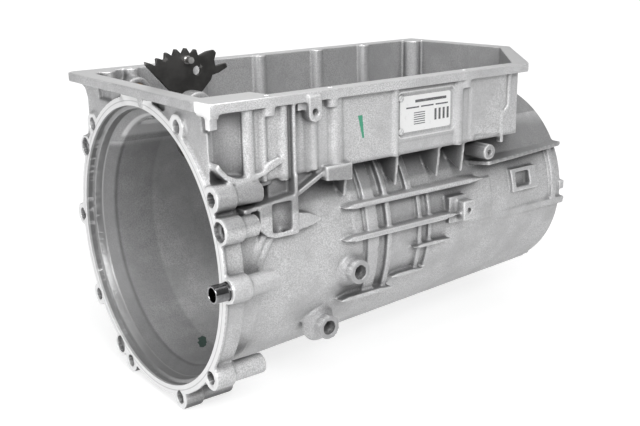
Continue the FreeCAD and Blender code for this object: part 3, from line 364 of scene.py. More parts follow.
@dataclass(frozen=True)
class CastAluminium:
    """Grey blasted casting skin with milled faces, turned bores, two dabs of green paint, painted shade and
    painted highlights.
    """

    pale: tuple = (0.80, 0.80, 0.805)
    dull: tuple = (0.34, 0.34, 0.345)
    shaded: tuple = (0.155, 0.155, 0.157)
    # Painted shade for corners, gaps and the ports' holes.
    crevice_shade: tuple = (0.07, 0.07, 0.072)
    # Painted shade in hollows and along the groove in the front face.
    recess: tuple = (0.16, 0.16, 0.16)
    # Lighter edges: partly wear, partly painted highlight.
    rubbed_and_highlit: tuple = (0.92, 0.92, 0.92)
    # Colour of the machined faces, also laid on the crown inside the bore as painted light.
    milled: tuple = (0.86, 0.86, 0.865)
    streaked: tuple = (0.72, 0.72, 0.715)
    # Painted shade on the wall of the front bore.
    turned: tuple = (0.16, 0.16, 0.162)
    # Painted highlight: the milled corner pad is pure white, as if in glare.
    pad_highlight: tuple = (0.99, 0.99, 0.99)
    green: tuple = (0.035, 0.29, 0.17)
    # The green of the dab in the bore, with painted shade.
    shaded_green: tuple = (0.006, 0.040, 0.027)
    grain: float = 0.0012
    grain_depth: float = 0.00055
    # Reach of the painted shade in corners and gaps.
    shade_gap_width: float = 0.030
    line_rate: float = 9000
    cast_roughness: float = 0.5
    milled_roughness: float = 0.34
    paint: PaintDabs = PaintDabs()

    def milled_faces(self, bench: Bench) -> Shade:
        """Return 1 on the faces and bores that a cutter has been over."""
        mask = Region.FRONT_FACE.mask(bench)
        for region in (Region.SUMP_RIM, Region.FRONT_BORE, Region.CORNER_PAD, Region.OUTPUT_BORE,
                       Region.REAR_FACE):
            mask = mask.larger(region.mask(bench))
        return mask

    def ports(self, bench: Bench) -> tuple[Shade, Shade]:
        """Return where the ends of the near side's two ports are, and where their holes are."""
        ends, holes = [], []
        for along, height, out in SIZES.ports:
            away = bench.distance(bench.x, bench.z, (along, height))
            boss = away.rise(SIZES.port_boss + 0.0015, SIZES.port_boss + 0.0007)
            hole = away.rise(SIZES.port_hole + 0.0008, SIZES.port_hole + 0.0003)
            ends.append(boss * bench.y.within(-0.0008 - out, 0.0007 - out, 0.0002))
            holes.append(hole * bench.y.within(0.0014 - out, 0.030 - out, 0.0006))
        return ends[0].larger(ends[1]), holes[0].larger(holes[1])

    def barrel_skin(self, bench: Bench) -> Shade:
        """Return 1 on the unmachined, tapered inside of the barrel, below its crown."""
        mouth = bench.x.rise(0.030, 0.026) * SIZES.mouth_flare
        skin = SIZES.skin_radius - bench.x * SIZES.skin_taper + mouth
        return (skin - bench.radius).rise(0, 0.0012) * Region.BARREL.mask(bench)

    def bright_metal(self, bench: Bench, lines: Shade, streaks: Shade) -> object:
        """Return the colour of the machined faces, with painted shade on the wall of the front bore."""
        return bench.layers(self.milled, (streaks * 0.35 + lines * 0.12, self.streaked),
                            (Region.BORE_WALL.mask(bench) * 0.75, self.turned))

    def make(self) -> bpy.types.Material:
        """Return the material."""
        bench = Bench("cast_aluminium_finish")
        milled = self.milled_faces(bench)
        cast = 1 - milled
        pad = Region.CORNER_PAD.mask(bench)
        grain = bench.noise(self.grain, 2, 0.6)
        coarse = bench.noise(self.grain * 2.6, 2, 0.5)
        patches = bench.noise(0.055, 3, 0.55).rise(0.36, 0.62)
        clouds = bench.noise(0.018, 4, 0.6)
        streaks = bench.noise(0.006, 3, 0.6)
        lines = (bench.radius * self.line_rate + clouds * 3).wave() * 0.5 + 0.5
        tone = clouds * 0.36 + grain.rise(0.36, 0.64) * (0.16 + patches * 0.32) + coarse * 0.12 + 0.04
        # Painted shade: ambient occlusion darkens corners and gaps of the casting.
        crease_shade = bench.openness(self.shade_gap_width).rise(0.92, 0.35) * cast
        skin = self.barrel_skin(bench)
        # Painted shade inside the barrel, deeper at its front and in the cone of its mouth.
        deeper_shade = Region.BARREL_FRONT.mask(bench) * 0.22 + Region.BARREL_CONE.mask(bench) * 0.34
        edge = bench.edges()
        ends, holes = self.ports(bench)
        wall, inside = self.paint.on_wall(bench), self.paint.in_bore(bench) * skin
        colour = bench.layers(
            bench.mix(tone, self.dull, self.pale),
            # Painted shade in corners and gaps, weaker on the front plate.
            (crease_shade * (0.80 - Region.FRONT_PLATE.mask(bench) * 0.5), self.crevice_shade),
            # Painted shade on the inside of the barrel.
            (skin * (0.38 + deeper_shade - clouds * 0.2), self.shaded),
            # Painted shade on the inside walls of the sump.
            (Region.SUMP_INSIDE.mask(bench) * 0.42, self.shaded),
            # Painted light on the crown inside the bore, in the milled colour.
            (Region.CROWN.mask(bench) * 0.7, self.milled),
            # Painted shade under the near wall's overhang.
            (Region.BELOW_WALL.mask(bench) * 0.5, self.shaded),
            # Painted shade in hollows, where the surface lies in.
            (edge.rise(0.495, 0.44) * cast * 0.7, self.recess),
            # Edges that stand out are lighter: partly wear, partly painted highlight.
            (edge.rise(0.515, 0.57) * cast * 0.55, self.rubbed_and_highlit),
            # Painted shade: the ports' end faces are darkened towards the dull cast colour.
            (ends * 0.75, self.dull),
            # Painted shade inside the ports' holes.
            (holes * 0.7, self.crevice_shade),
            (milled, self.bright_metal(bench, lines, streaks)),
            # Painted highlight: the milled corner pad is pure white and not metallic.
            (pad, self.pad_highlight),
            # Painted shade along the groove in the front face.
            (Region.FACE_GROOVE.mask(bench) * 0.35, self.recess),
            (wall * 0.94, self.green),
            # Painted shade: the dab in the bore is a darker copy of the green paint.
            (inside * 0.9, self.shaded_green))
        painted = wall.larger(inside)
        rough = (self.cast_roughness + clouds * 0.12 - patches * 0.05) * cast
        rough = rough + milled * (self.milled_roughness + streaks * 0.1) + painted * 0.1
        # The paint and the pad's painted highlight are not metallic.
        metallic = (1 - painted.larger(pad)) * (0.45 + milled * 0.25)
        height = (grain * 0.6 + coarse * 0.4) * (0.45 + patches * 0.55) * cast + lines * milled * 0.03
        return bench.surface(colour, rough, metallic, bench.bump(height, self.grain_depth))


@dataclass(frozen=True)
class Steel:
    """Worked steel with fine lines, worn edges and a thin film of oil."""

    name: str
    base: tuple
    worn: tuple
    roughness: float = 0.3
    metallic: float = 0.95
    blotch: float = 0.012
    wear: float = 0.6
    line_depth: float = 0.00004

    def make(self) -> bpy.types.Material:
        """Return the material."""
        bench = Bench(self.name)
        blotches = bench.noise(self.blotch, 4, 0.6)
        fine = bench.noise(0.0007, 3, 0.65)
        lines = bench.noise(0.0012, 2, 0.5, (0.15, 1, 1))
        edge = bench.edges()
        shade = tuple(c * 0.62 for c in self.base)
        colour = bench.mix(blotches.rise(0.35, 0.68), shade, self.base)
        colour = bench.mix(edge.rise(0.52, 0.6) * self.wear, colour, self.worn)
        rough = self.roughness + blotches * 0.14 - 0.07 + fine * 0.06
        height = fine * 0.6 + lines * 0.4
        return bench.surface(colour, rough, self.metallic, bench.bump(height, self.line_depth))


@dataclass(frozen=True)
class Mottled:
    """A plain material with patches of a second colour, such as pores, bloom or scuffs."""

    name: str
    base: tuple
    patch: tuple
    # Size, finer layers and their share, for the patches.
    blotch: tuple
    borders: tuple
    share: float
    roughness: float
    duller: float = 0.2
    metallic: float = 0.0
    # The same for a fine relief. Without it the patches are sunk.
    fine: tuple | None = None
    depth: float = 0.0

    def make(self) -> bpy.types.Material:
        """Return the material."""
        bench = Bench(self.name)
        patches = bench.noise(*self.blotch).rise(*self.borders)
        height = bench.noise(*self.fine) if self.fine else 1 - patches
        normal = bench.bump(height, self.depth) if self.depth else None
        colour = bench.mix(patches * self.share, self.base, self.patch)
        return bench.surface(colour, self.roughness + patches * self.duller, self.metallic, normal)


class Finishes:
    """All finishes, made once."""

    def __init__(self) -> None:
        """Make the materials of every slot."""
        self.by_slot = {
            Slot.CAST: CastAluminium().make(),
            Slot.DARK: Steel("dark_steel_finish", (0.072, 0.070, 0.068), (0.24, 0.235, 0.23),
                             roughness=0.38, metallic=0.6, blotch=0.020, wear=0.75).make(),
            Slot.BRIGHT: Steel("bright_steel_finish", (0.62, 0.61, 0.60), (0.80, 0.80, 0.79),
                               roughness=0.26).make(),
            Slot.SPRING: Steel("spring_steel_finish", (0.30, 0.29, 0.275), (0.52, 0.51, 0.50),
                               roughness=0.32).make(),
            Slot.SLEEVE: Steel("sleeve_steel_finish", (0.20, 0.20, 0.205), (0.55, 0.55, 0.56),
                               roughness=0.15, metallic=1.0, blotch=0.006, wear=0.5).make(),
            Slot.BRONZE: Mottled("bronze_finish", (0.52, 0.33, 0.15), (0.17, 0.10, 0.05),
                                 (0.0005, 2, 0.7), (0.56, 0.64), share=0.7, roughness=0.36,
                                 duller=0.25, metallic=0.9, depth=0.00006).make(),
            Slot.RUBBER: Mottled("seal_rubber_finish", (0.030, 0.020, 0.016), (0.075, 0.060, 0.052),
                                 (0.007, 4, 0.65), (0.42, 0.72), share=0.7, roughness=0.55,
                                 fine=(0.0006, 2, 0.6), depth=0.00005).make(),
            Slot.FOIL: Mottled("label_foil_finish", (0.80, 0.80, 0.80), (0.58, 0.58, 0.575),
                               (0.004, 4, 0.7), (0.55, 0.72), share=0.35, roughness=0.34,
                               fine=(0.0006, 2, 0.5), depth=0.00003).make(),
        }
        self.ink = Mottled("print_ink_finish", (0.085, 0.085, 0.09), (0.22, 0.22, 0.225),
                           (0.0015, 3, 0.6), (0.4, 0.75), share=1.0, roughness=0.5).make()


def dress(piece: bpy.types.Object, material: bpy.types.Material) -> None:
    """Give a piece one finish over all its faces."""
    piece.data.materials.clear()
    piece.data.materials.append(material)
    piece.data.polygons.foreach_set("material_index", [0] * len(piece.data.polygons))


def link(name: str, mesh: bpy.types.Mesh) -> bpy.types.Object:
    """Put a mesh in the scene as a new piece at the origin."""
    piece = bpy.data.objects.new(name, mesh)
    bpy.context.scene.collection.objects.link(piece)
    return piece


def evaluated(piece: bpy.types.Object) -> bpy.types.Mesh:
    """Return a plain mesh of a piece with its modifiers applied."""
    graph = bpy.context.evaluated_depsgraph_get()
    graph.update()
    return bpy.data.meshes.new_from_object(piece.evaluated_get(graph), depsgraph=graph)


def freeze(piece: bpy.types.Object) -> None:
    """Apply all modifiers of a piece."""
    mesh = evaluated(piece)
    piece.modifiers.clear()
    old, piece.data = piece.data, mesh
    bpy.data.meshes.remove(old)


def merged_copy(node: str) -> bpy.types.Mesh:
    """Return a copy of a CAD node's mesh with its loose triangles joined."""
    form = bmesh.new()
    form.from_mesh(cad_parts[node].data)
    bmesh.ops.remove_doubles(form, verts=form.verts, dist=2e-6)
    mesh = bpy.data.meshes.new(f"{node}_form")
    form.to_mesh(mesh)
    form.free()
    return mesh


def refine(mesh: bpy.types.Mesh, longest: float, rounds: int = 8) -> None:
    """Split long edges, so that worn edges are shaded only close to the edge.

    Args:
        mesh: The mesh, changed in place.
        longest: Length of an edge that is left as it is.
        rounds: How many times an edge may be halved.
    """
    form = bmesh.new()
    form.from_mesh(mesh)
    for _ in range(rounds):
        long_edges = [edge for edge in form.edges if edge.calc_length() > longest]
        if not long_edges:
            break
        bmesh.ops.subdivide_edges(form, edges=long_edges, cuts=1)
        bmesh.ops.triangulate(form, faces=[face for face in form.faces if len(face.verts) > 3])
    form.to_mesh(mesh)
    form.free()


def points_of(mesh: bpy.types.Mesh) -> np.ndarray:
    """Return the vertices of a mesh as rows of three numbers."""
    found = np.empty(len(mesh.vertices) * 3, np.float32)
    mesh.vertices.foreach_get("co", found)
    return found.reshape(-1, 3).astype(float)


def set_points(mesh: bpy.types.Mesh, points: np.ndarray) -> None:
    """Move the vertices of a mesh to these points."""
    mesh.vertices.foreach_set("co", points.astype(np.float32).ravel())
    mesh.update()


def shade_smooth(mesh: bpy.types.Mesh, sharpest: float) -> None:
    """Shade a mesh smoothly, but not over edges that turn by more than so many degrees."""
    mesh.polygons.foreach_set("use_smooth", [True] * len(mesh.polygons))
    mesh.set_sharp_from_angle(angle=math.radians(sharpest))


def finish_piece(piece: bpy.types.Object, body: str, slot: Slot, material: bpy.types.Material,
                 *nodes: str) -> bpy.types.Object:
    """Dress a finished piece and fix it to its body.

    Args:
        piece: The piece.
        body: Body that it rides on.
        slot: Record slot of its finish. Not used.
        material: The finish.
        nodes: CAD nodes that it stands for.

    Returns:
        The piece.
    """
    dress(piece, material)
    if nodes:
        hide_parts(*nodes)
    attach(piece, body)
    LOG.info("%s: %d faces on %s", piece.name, len(piece.data.polygons), body)
    return piece


@dataclass
class Bore:
    """A round hole or boss whose wall stays true to its radius, between two places on its axis."""

    axis: Axis
    centre: tuple
    radius: float
    low: float
    high: float
    reach: float = 0.0006

    def true_up(self, points: np.ndarray, share: float) -> None:
        """Move points onto the wall, if they are nearer to it than that share of the bore's reach."""
        along, first, second = self.axis.value
        across = points[:, first] - self.centre[0]
        up = points[:, second] - self.centre[1]
        away = np.hypot(across, up)
        inside = (points[:, along] > self.low) & (points[:, along] < self.high)
        near = (np.abs(away - self.radius) < self.reach * share) & inside
        stretch = self.radius / away[near]
        points[near, first] = self.centre[0] + across[near] * stretch
        points[near, second] = self.centre[1] + up[near] * stretch


@dataclass
class HousingCasting:
    """The casting, with the rounded edges and inner corners of a cast skin."""

    voxel: float = 0.0012
    quick_voxel: float = 0.0026
    rounding: int = 4
    quick_rounding: int = 2
    triangles: int = 188000
    sharpest: float = 52
    # Radius, start and end of each step of the front bore.
    front_steps: tuple = ((0.136, -0.001, 0.0078), (0.132, 0.0085, 0.0155))
    front_reach: float = 0.0011
    past_face: float = 0.001
    hole_depth: float = 0.019
    port_depth: float = 0.02
    boss_depth: float = 0.008
    # Axis and place of each machined plane.
    planes: tuple = ((0, 0.0), (2, SIZES.rim))
    plane_reach: float = 0.0006

    def bores(self) -> list[Bore]:
        """Return the machined bores."""
        made = [Bore(Axis.X, (0, 0), radius, low, high, self.front_reach)
                for radius, low, high in self.front_steps]
        for angles, radius in ((SIZES.bolt_angles, SIZES.bolt_hole), (SIZES.large_angles, SIZES.large_hole)):
            for angle in angles:
                turn = math.radians(angle)
                centre = (SIZES.hole_circle * math.cos(turn), SIZES.hole_circle * math.sin(turn))
                made.append(Bore(Axis.X, centre, radius, -self.past_face, self.hole_depth))
        for along, height, out in SIZES.ports:
            for radius, depth in ((SIZES.port_hole, self.port_depth), (SIZES.port_boss, self.boss_depth)):
                made.append(Bore(Axis.Y, (along, height), radius, -out - self.past_face, depth - out))
        return made

    def settle(self, mesh: bpy.types.Mesh, points: np.ndarray, box: np.ndarray, share: float) -> None:
        """Move a mesh to points with its bores made round, all within the solid's box.

        Args:
            mesh: The mesh, changed in place.
            points: Its points.
            box: Lowest and highest corner of the box.
            share: Share of each bore's reach.
        """
        for bore in self.bores():
            bore.true_up(points, share)
        set_points(mesh, np.clip(points, *box))

    def build(self, finishes: Finishes) -> bpy.types.Object:
        """Make the piece that stands for the housing node."""
        box = np.array(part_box("housing"))
        piece = link("casting", merged_copy("housing"))
        remesh = piece.modifiers.new("skin", "REMESH")
        remesh.mode = "VOXEL"
        remesh.voxel_size = self.voxel
        freeze(piece)
        before = points_of(piece.data)
        smooth = piece.modifiers.new("rounding", "SMOOTH")
        smooth.factor = 0.5
        smooth.iterations = self.rounding
        freeze(piece)
        points = points_of(piece.data)
        for axis, place in self.planes:
            points[np.abs(before[:, axis] - place) < self.plane_reach, axis] = place
        self.settle(piece.data, points, box, 1.0)
        faces = sum(len(face.vertices) - 2 for face in piece.data.polygons)
        thin = piece.modifiers.new("thinning", "DECIMATE")
        thin.ratio = min(1.0, self.triangles / faces)
        freeze(piece)
        self.settle(piece.data, points_of(piece.data), box, 0.5)
        shade_smooth(piece.data, self.sharpest)
        return finish_piece(piece, "root", Slot.CAST, finishes.by_slot[Slot.CAST], "housing")


class NodeForm(Graph):
    """A shape that a geometry node tree makes from named sizes."""

    def __init__(self, name: str, inputs: dict) -> None:
        """Start a tree with these sizes and their values, where Finish is the material."""
        super().__init__(bpy.data.node_groups.new(name, "GeometryNodeTree"))
        self.values = inputs
        self.sockets = {}
        for label, value in inputs.items():
            kind = {int: "NodeSocketInt", float: "NodeSocketFloat", tuple: "NodeSocketVector",
                    bpy.types.Material: "NodeSocketMaterial"}[type(value)]
            self.sockets[label] = self.tree.interface.new_socket(label, in_out="INPUT", socket_type=kind)
        self.tree.interface.new_socket("Geometry", in_out="OUTPUT", socket_type="NodeSocketGeometry")
        self.source = self.node("NodeGroupInput")
        self.result = self.node("NodeGroupOutput")

    def size(self, label: str) -> bpy.types.NodeSocket:
        """Return the tree's input of that name."""
        return self.source.outputs[label]

    def mesh(self, geometry: bpy.types.NodeSocket) -> bpy.types.Mesh:
        """End the tree in this geometry and return it as a plain mesh."""
        real = self.node("GeometryNodeRealizeInstances", None, {0: geometry})
        coat = self.node("GeometryNodeSetMaterial", None,
                         {"Geometry": real.outputs[0], "Material": self.size("Finish")})
        self.tree.links.new(coat.outputs[0], self.result.inputs[0])
        carrier = link("carrier", bpy.data.meshes.new("carrier"))
        modifier = carrier.modifiers.new("form", "NODES")
        modifier.node_group = self.tree
        for label, value in self.values.items():
            modifier[self.sockets[label].identifier] = value
        mesh = evaluated(carrier)
        carrier.modifiers.clear()
        bpy.data.objects.remove(carrier)
        return mesh

    def tube(self, line: bpy.types.Node, sides: int) -> bpy.types.Mesh:
        """End the tree in a bar that follows a line, with the size Wire as its radius."""
        section = self.node("GeometryNodeCurvePrimitiveCircle", {"mode": "RADIUS"},
                            {"Resolution": sides, "Radius": self.size("Wire")})
        made = self.node("GeometryNodeCurveToMesh", None,
                         {"Curve": line.outputs[0], "Profile Curve": section.outputs[0], "Fill Caps": True})
        return self.mesh(made.outputs[0])

    def row(self, shape: bpy.types.Node, scale: object, turn: tuple = (0.0, 0.0, 0.0)) -> bpy.types.Mesh:
        """End the tree in copies of a shape, placed by the sizes Count, Start and Step."""
        places = self.node("GeometryNodeMeshLine", {"mode": "OFFSET"},
                           {"Count": self.size("Count"), "Start Location": self.size("Start"),
                            "Offset": self.size("Step")})
        made = self.node("GeometryNodeInstanceOnPoints", None,
                         {"Points": places.outputs[0], "Instance": shape.outputs[0], "Rotation": turn,
                          "Scale": scale})
        return self.mesh(made.outputs[0])


def thread(name: str, radius: float, height: float, pitch: float, wire: float,
           finish: bpy.types.Material) -> bpy.types.Mesh:
    """Make a thread's ridge: a four-sided wire wound up along Z from the origin.

    Args:
        name: Name of the node tree.
        radius: Radius of the winding.
        height: Its height.
        pitch: Height of one turn.
        wire: Radius of the wire.
        finish: Its material.

    Returns:
        The mesh.
    """
    form = NodeForm(name, {"Radius": radius, "Height": height, "Turns": height / pitch, "Wire": wire,
                           "Finish": finish})
    line = form.node("GeometryNodeCurveSpiral", None,
                     {"Resolution": 28, "Rotations": form.size("Turns"), "Start Radius": form.size("Radius"),
                      "End Radius": form.size("Radius"), "Height": form.size("Height")})
    return form.tube(line, 4)


def joined(name: str, meshes: list) -> bpy.types.Object:
    """Join meshes, each with the matrix that places it, into one new piece."""
    points, faces = [], []
    for mesh, matrix in meshes:
        start = len(points)
        turned = points_of(mesh) @ np.array(matrix.to_3x3()).T + np.array(matrix.translation)
        points.extend(map(tuple, turned))
        faces.extend(tuple(start + index for index in face.vertices) for face in mesh.polygons)
    made = bpy.data.meshes.new(name)
    made.from_pydata(points, [], faces)
    shade_smooth(made, 40)
    return link(name, made)


@dataclass
class ThreadedHoles:
    """Thread ridges in the cooler ports, the pan screw holes and the wall's tapped bosses."""

    port_pitch: float = 0.0015
    port_length: float = 0.015
    port_wire: float = 0.00042
    screw_pitch: float = 0.001
    screw_radius: float = 0.00297
    screw_length: float = 0.010
    side_length: float = 0.008
    screw_wire: float = 0.00030
    sunk: float = 0.0015
    near_places: tuple = (0.060, 0.128, 0.295)
    far_places: tuple = (0.060, 0.142, 0.222, 0.304, 0.376)
    # Mouth of each tapped hole in the near side, with the radius of its thread.
    side_places: tuple = (((0.105, -0.1285, 0.136), 0.00347), ((0.326, -0.1275, 0.068), 0.00297),
                          ((0.299, -0.1275, 0.011), 0.00297))

    def runs(self, finish: bpy.types.Material) -> list:
        """Return the thread of every hole, with its place."""
        port = thread("port_thread", SIZES.port_hole - 0.00005, self.port_length, self.port_pitch,
                      self.port_wire, finish)
        screw = thread("screw_thread", self.screw_radius, self.screw_length, self.screw_pitch,
                       self.screw_wire, finish)
        outward = Matrix.Rotation(math.radians(90), 4, "X")
        made = []
        for along, height, out in SIZES.ports:
            foot = self.port_length + self.sunk - out
            made.append((port, Matrix.Translation((along, foot, height)) @ outward))
        foot = SIZES.rim - self.screw_length - self.sunk
        for row, places in ((SIZES.near_wall, self.near_places), (SIZES.far_wall, self.far_places)):
            made.extend((screw, Matrix.Translation((along, row, foot))) for along in places)
        for place, radius in self.side_places:
            side = thread("side_thread", radius, self.side_length, self.screw_pitch, self.screw_wire, finish)
            made.append((side, Matrix.Translation(place) @ outward))
        return made

    def build(self, finishes: Finishes) -> bpy.types.Object:
        """Make the threads as one piece."""
        finish = finishes.by_slot[Slot.CAST]
        return finish_piece(joined("hole_threads", self.runs(finish)), "root", Slot.CAST, finish)


@dataclass
class Label:
    """Plain label plate with grey bars in its recess on the near wall."""

    corner: float = 0.0025
    corner_steps: int = 6
    lift: float = 0.00006
    # How many bars, the first one's centre, the step to the next, and length and height, in plate sizes.
    groups: tuple = ((1, 0.60, 0.83, 0.0, 0.0, 0.62, 0.075),
                     (3, 0.24, 0.665, 0.29, 0.0, 0.25, 0.04),
                     (6, 0.375, 0.20, 0.0, 0.062, 0.22, 0.026),
                     (4, 0.695, 0.39, 0.083, 0.0, 0.042, 0.32))

    def plate(self, low: Vector, high: Vector) -> bpy.types.Mesh:
        """Return a plate with rounded corners that fills a box."""
        outline = []
        for side, top, start in ((1, 1, 0), (-1, 1, 90), (-1, -1, 180), (1, -1, 270)):
            centre_x = (high.x if side > 0 else low.x) - side * self.corner
            centre_z = (high.z if top > 0 else low.z) - top * self.corner
            for step in range(self.corner_steps + 1):
                turn = math.radians(start + step * 90 / self.corner_steps)
                outline.append((centre_x + self.corner * math.cos(turn),
                                centre_z + self.corner * math.sin(turn)))
        count = len(outline)
        points = [(x, low.y, z) for x, z in outline] + [(x, high.y, z) for x, z in outline]
        faces = [tuple(range(count)), tuple(range(2 * count - 1, count - 1, -1))]
        for index in range(count):
            after = (index + 1) % count
            faces.append((after, index, count + index, count + after))
        mesh = bpy.data.meshes.new("label_plate")
        mesh.from_pydata(points, [], faces)
        return mesh

    def bars(self, group: tuple, low: Vector, high: Vector, ink: bpy.types.Material) -> bpy.types.Mesh:
        """Return one group of plain bars on the face of the label with that box."""
        count, across, up, step_across, step_up, length, thickness = group
        width, height = high.x - low.x, high.z - low.z
        start = (low.x + width * across, low.y - self.lift, low.z + height * up)
        form = NodeForm("label_bars", {"Count": count, "Start": start,
                                       "Step": (width * step_across, 0.0, height * step_up),
                                       "Size": (width * length, height * thickness, 1.0), "Finish": ink})
        bar = form.node("GeometryNodeMeshGrid", None,
                        {"Size X": 1.0, "Size Y": 1.0, "Vertices X": 2, "Vertices Y": 2})
        return form.row(bar, form.size("Size"), (math.radians(90), 0.0, 0.0))

    def build(self, finishes: Finishes) -> list:
        """Make the plate and its bars as two pieces."""
        low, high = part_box("identification_label")
        film = finishes.by_slot[Slot.FOIL]
        plate = link("label_plate", self.plate(low, high))
        made = [finish_piece(plate, "root", Slot.FOIL, film, "identification_label")]
        still = Matrix.Identity(4)
        bars = [(self.bars(group, low, high, finishes.ink), still) for group in self.groups]
        made.append(finish_piece(joined("label_print", bars), "root", Slot.FOIL, finishes.ink))
        return made


@dataclass
class LabelFrame:
    """Raised cast frame round the label, with a round pad at each of its two front corners."""

    centre: tuple = (0.245, -0.1272, 0.1185)
    width: float = 0.0755
    height: float = 0.0445
    corner: float = 0.004
    thickness: float = 0.0011
    pad: float = 0.0034
    pad_flatness: float = 0.4
    pad_spread: float = 0.032
    pad_setback: float = 0.0325

    def rim(self, finish: bpy.types.Material) -> bpy.types.Mesh:
        """Return the frame as a round bar swept along a rectangle with rounded corners."""
        form = NodeForm("label_rim", {"Width": self.width, "Height": self.height, "Corner": self.corner,
                                      "Wire": self.thickness, "Finish": finish})
        line = form.node("GeometryNodeCurvePrimitiveQuadrilateral", None,
                         {"Width": form.size("Width"), "Height": form.size("Height")})
        rounded = form.node("GeometryNodeFilletCurve", None,
                            {"Curve": line.outputs[0], "Radius": form.size("Corner")})
        finer = form.node("GeometryNodeResampleCurve", None, {"Curve": rounded.outputs[0], "Count": 120})
        return form.tube(finer, 8)

    def pads(self, finish: bpy.types.Material) -> bpy.types.Mesh:
        """Return the two pads, each a flattened ball."""
        form = NodeForm("label_pads", {"Radius": self.pad, "Count": 2,
                                       "Start": (0.0, -self.pad_spread / 2, 0.0),
                                       "Step": (0.0, self.pad_spread, 0.0), "Finish": finish})
        ball = form.node("GeometryNodeMeshUVSphere", None,
                         {"Segments": 20, "Rings": 10, "Radius": form.size("Radius")})
        return form.row(ball, (1.0, 1.0, self.pad_flatness))

    def build(self, finishes: Finishes) -> bpy.types.Object:
        """Make the frame and its pads as one piece."""
        finish = finishes.by_slot[Slot.CAST]
        upright = Matrix.Translation(self.centre) @ Matrix.Rotation(math.radians(90), 4, "X")
        beside = upright @ Matrix.Translation((-self.pad_setback, 0, 0))
        piece = joined("label_frame", [(self.rim(finish), upright), (self.pads(finish), beside)])
        return finish_piece(piece, "root", Slot.CAST, finish)


@dataclass
class EdgedParts:
    """Steel parts whose edges are broken, as after deburring."""

    # Node, body, slot and width of the broken edge.
    parts: tuple = (("detent_plate", "selector", Slot.DARK, 0.00035),
                    ("dowel_sleeve", "root", Slot.SLEEVE, 0.0006),
                    ("selector_shaft", "selector", Slot.BRIGHT, 0.0003),
                    ("guide_plate", "root", Slot.DARK, 0.0003),
                    ("park_pawl", "pawl", Slot.DARK, 0.0004),
                    ("bearing_cup", "root", Slot.BRIGHT, 0.0004))
    longest: float = 0.003
    # Smallest turn in degrees of an edge that is broken, and of one that is shaded sharp.
    broken_from: float = 38
    sharpest: float = 20

    def build(self, finishes: Finishes) -> list:
        """Make each part from its own solid with broken edges."""
        made = []
        for node, body, slot, width in self.parts:
            piece = link(f"{node}_edged", merged_copy(node))
            bevel = piece.modifiers.new("broken_edges", "BEVEL")
            bevel.width = width
            bevel.segments = 1
            bevel.limit_method = "ANGLE"
            bevel.angle_limit = math.radians(self.broken_from)
            freeze(piece)
            refine(piece.data, self.longest)
            shade_smooth(piece.data, self.sharpest)
            set_points(piece.data, np.clip(points_of(piece.data), *np.array(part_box(node))))
            made.append(finish_piece(piece, body, slot, finishes.by_slot[slot], node))
        return made


@dataclass
class SteelFittings:
    """Parts whose solids are right as they are and only get their finish."""

    slots: tuple = (("bearing_snap_ring", Slot.SPRING), ("output_seal", Slot.RUBBER),
                    ("near_bush", Slot.BRONZE), ("far_bush", Slot.BRONZE), ("shaft_seal", Slot.RUBBER),
                    ("lock_pin", Slot.BRIGHT), ("valve_pin", Slot.BRIGHT), ("parking_rod", Slot.BRIGHT),
                    ("rod_clip", Slot.SPRING), ("park_cone", Slot.BRIGHT), ("cone_spring", Slot.SPRING),
                    ("guide_screws", Slot.BRIGHT), ("pawl_pin", Slot.BRIGHT), ("pawl_spring", Slot.SPRING))

    def build(self, finishes: Finishes) -> None:
        """Dress every node of this kind."""
        for node, slot in self.slots:
            dress(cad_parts[node], finishes.by_slot[slot])
            LOG.info("%s keeps its solid", node)


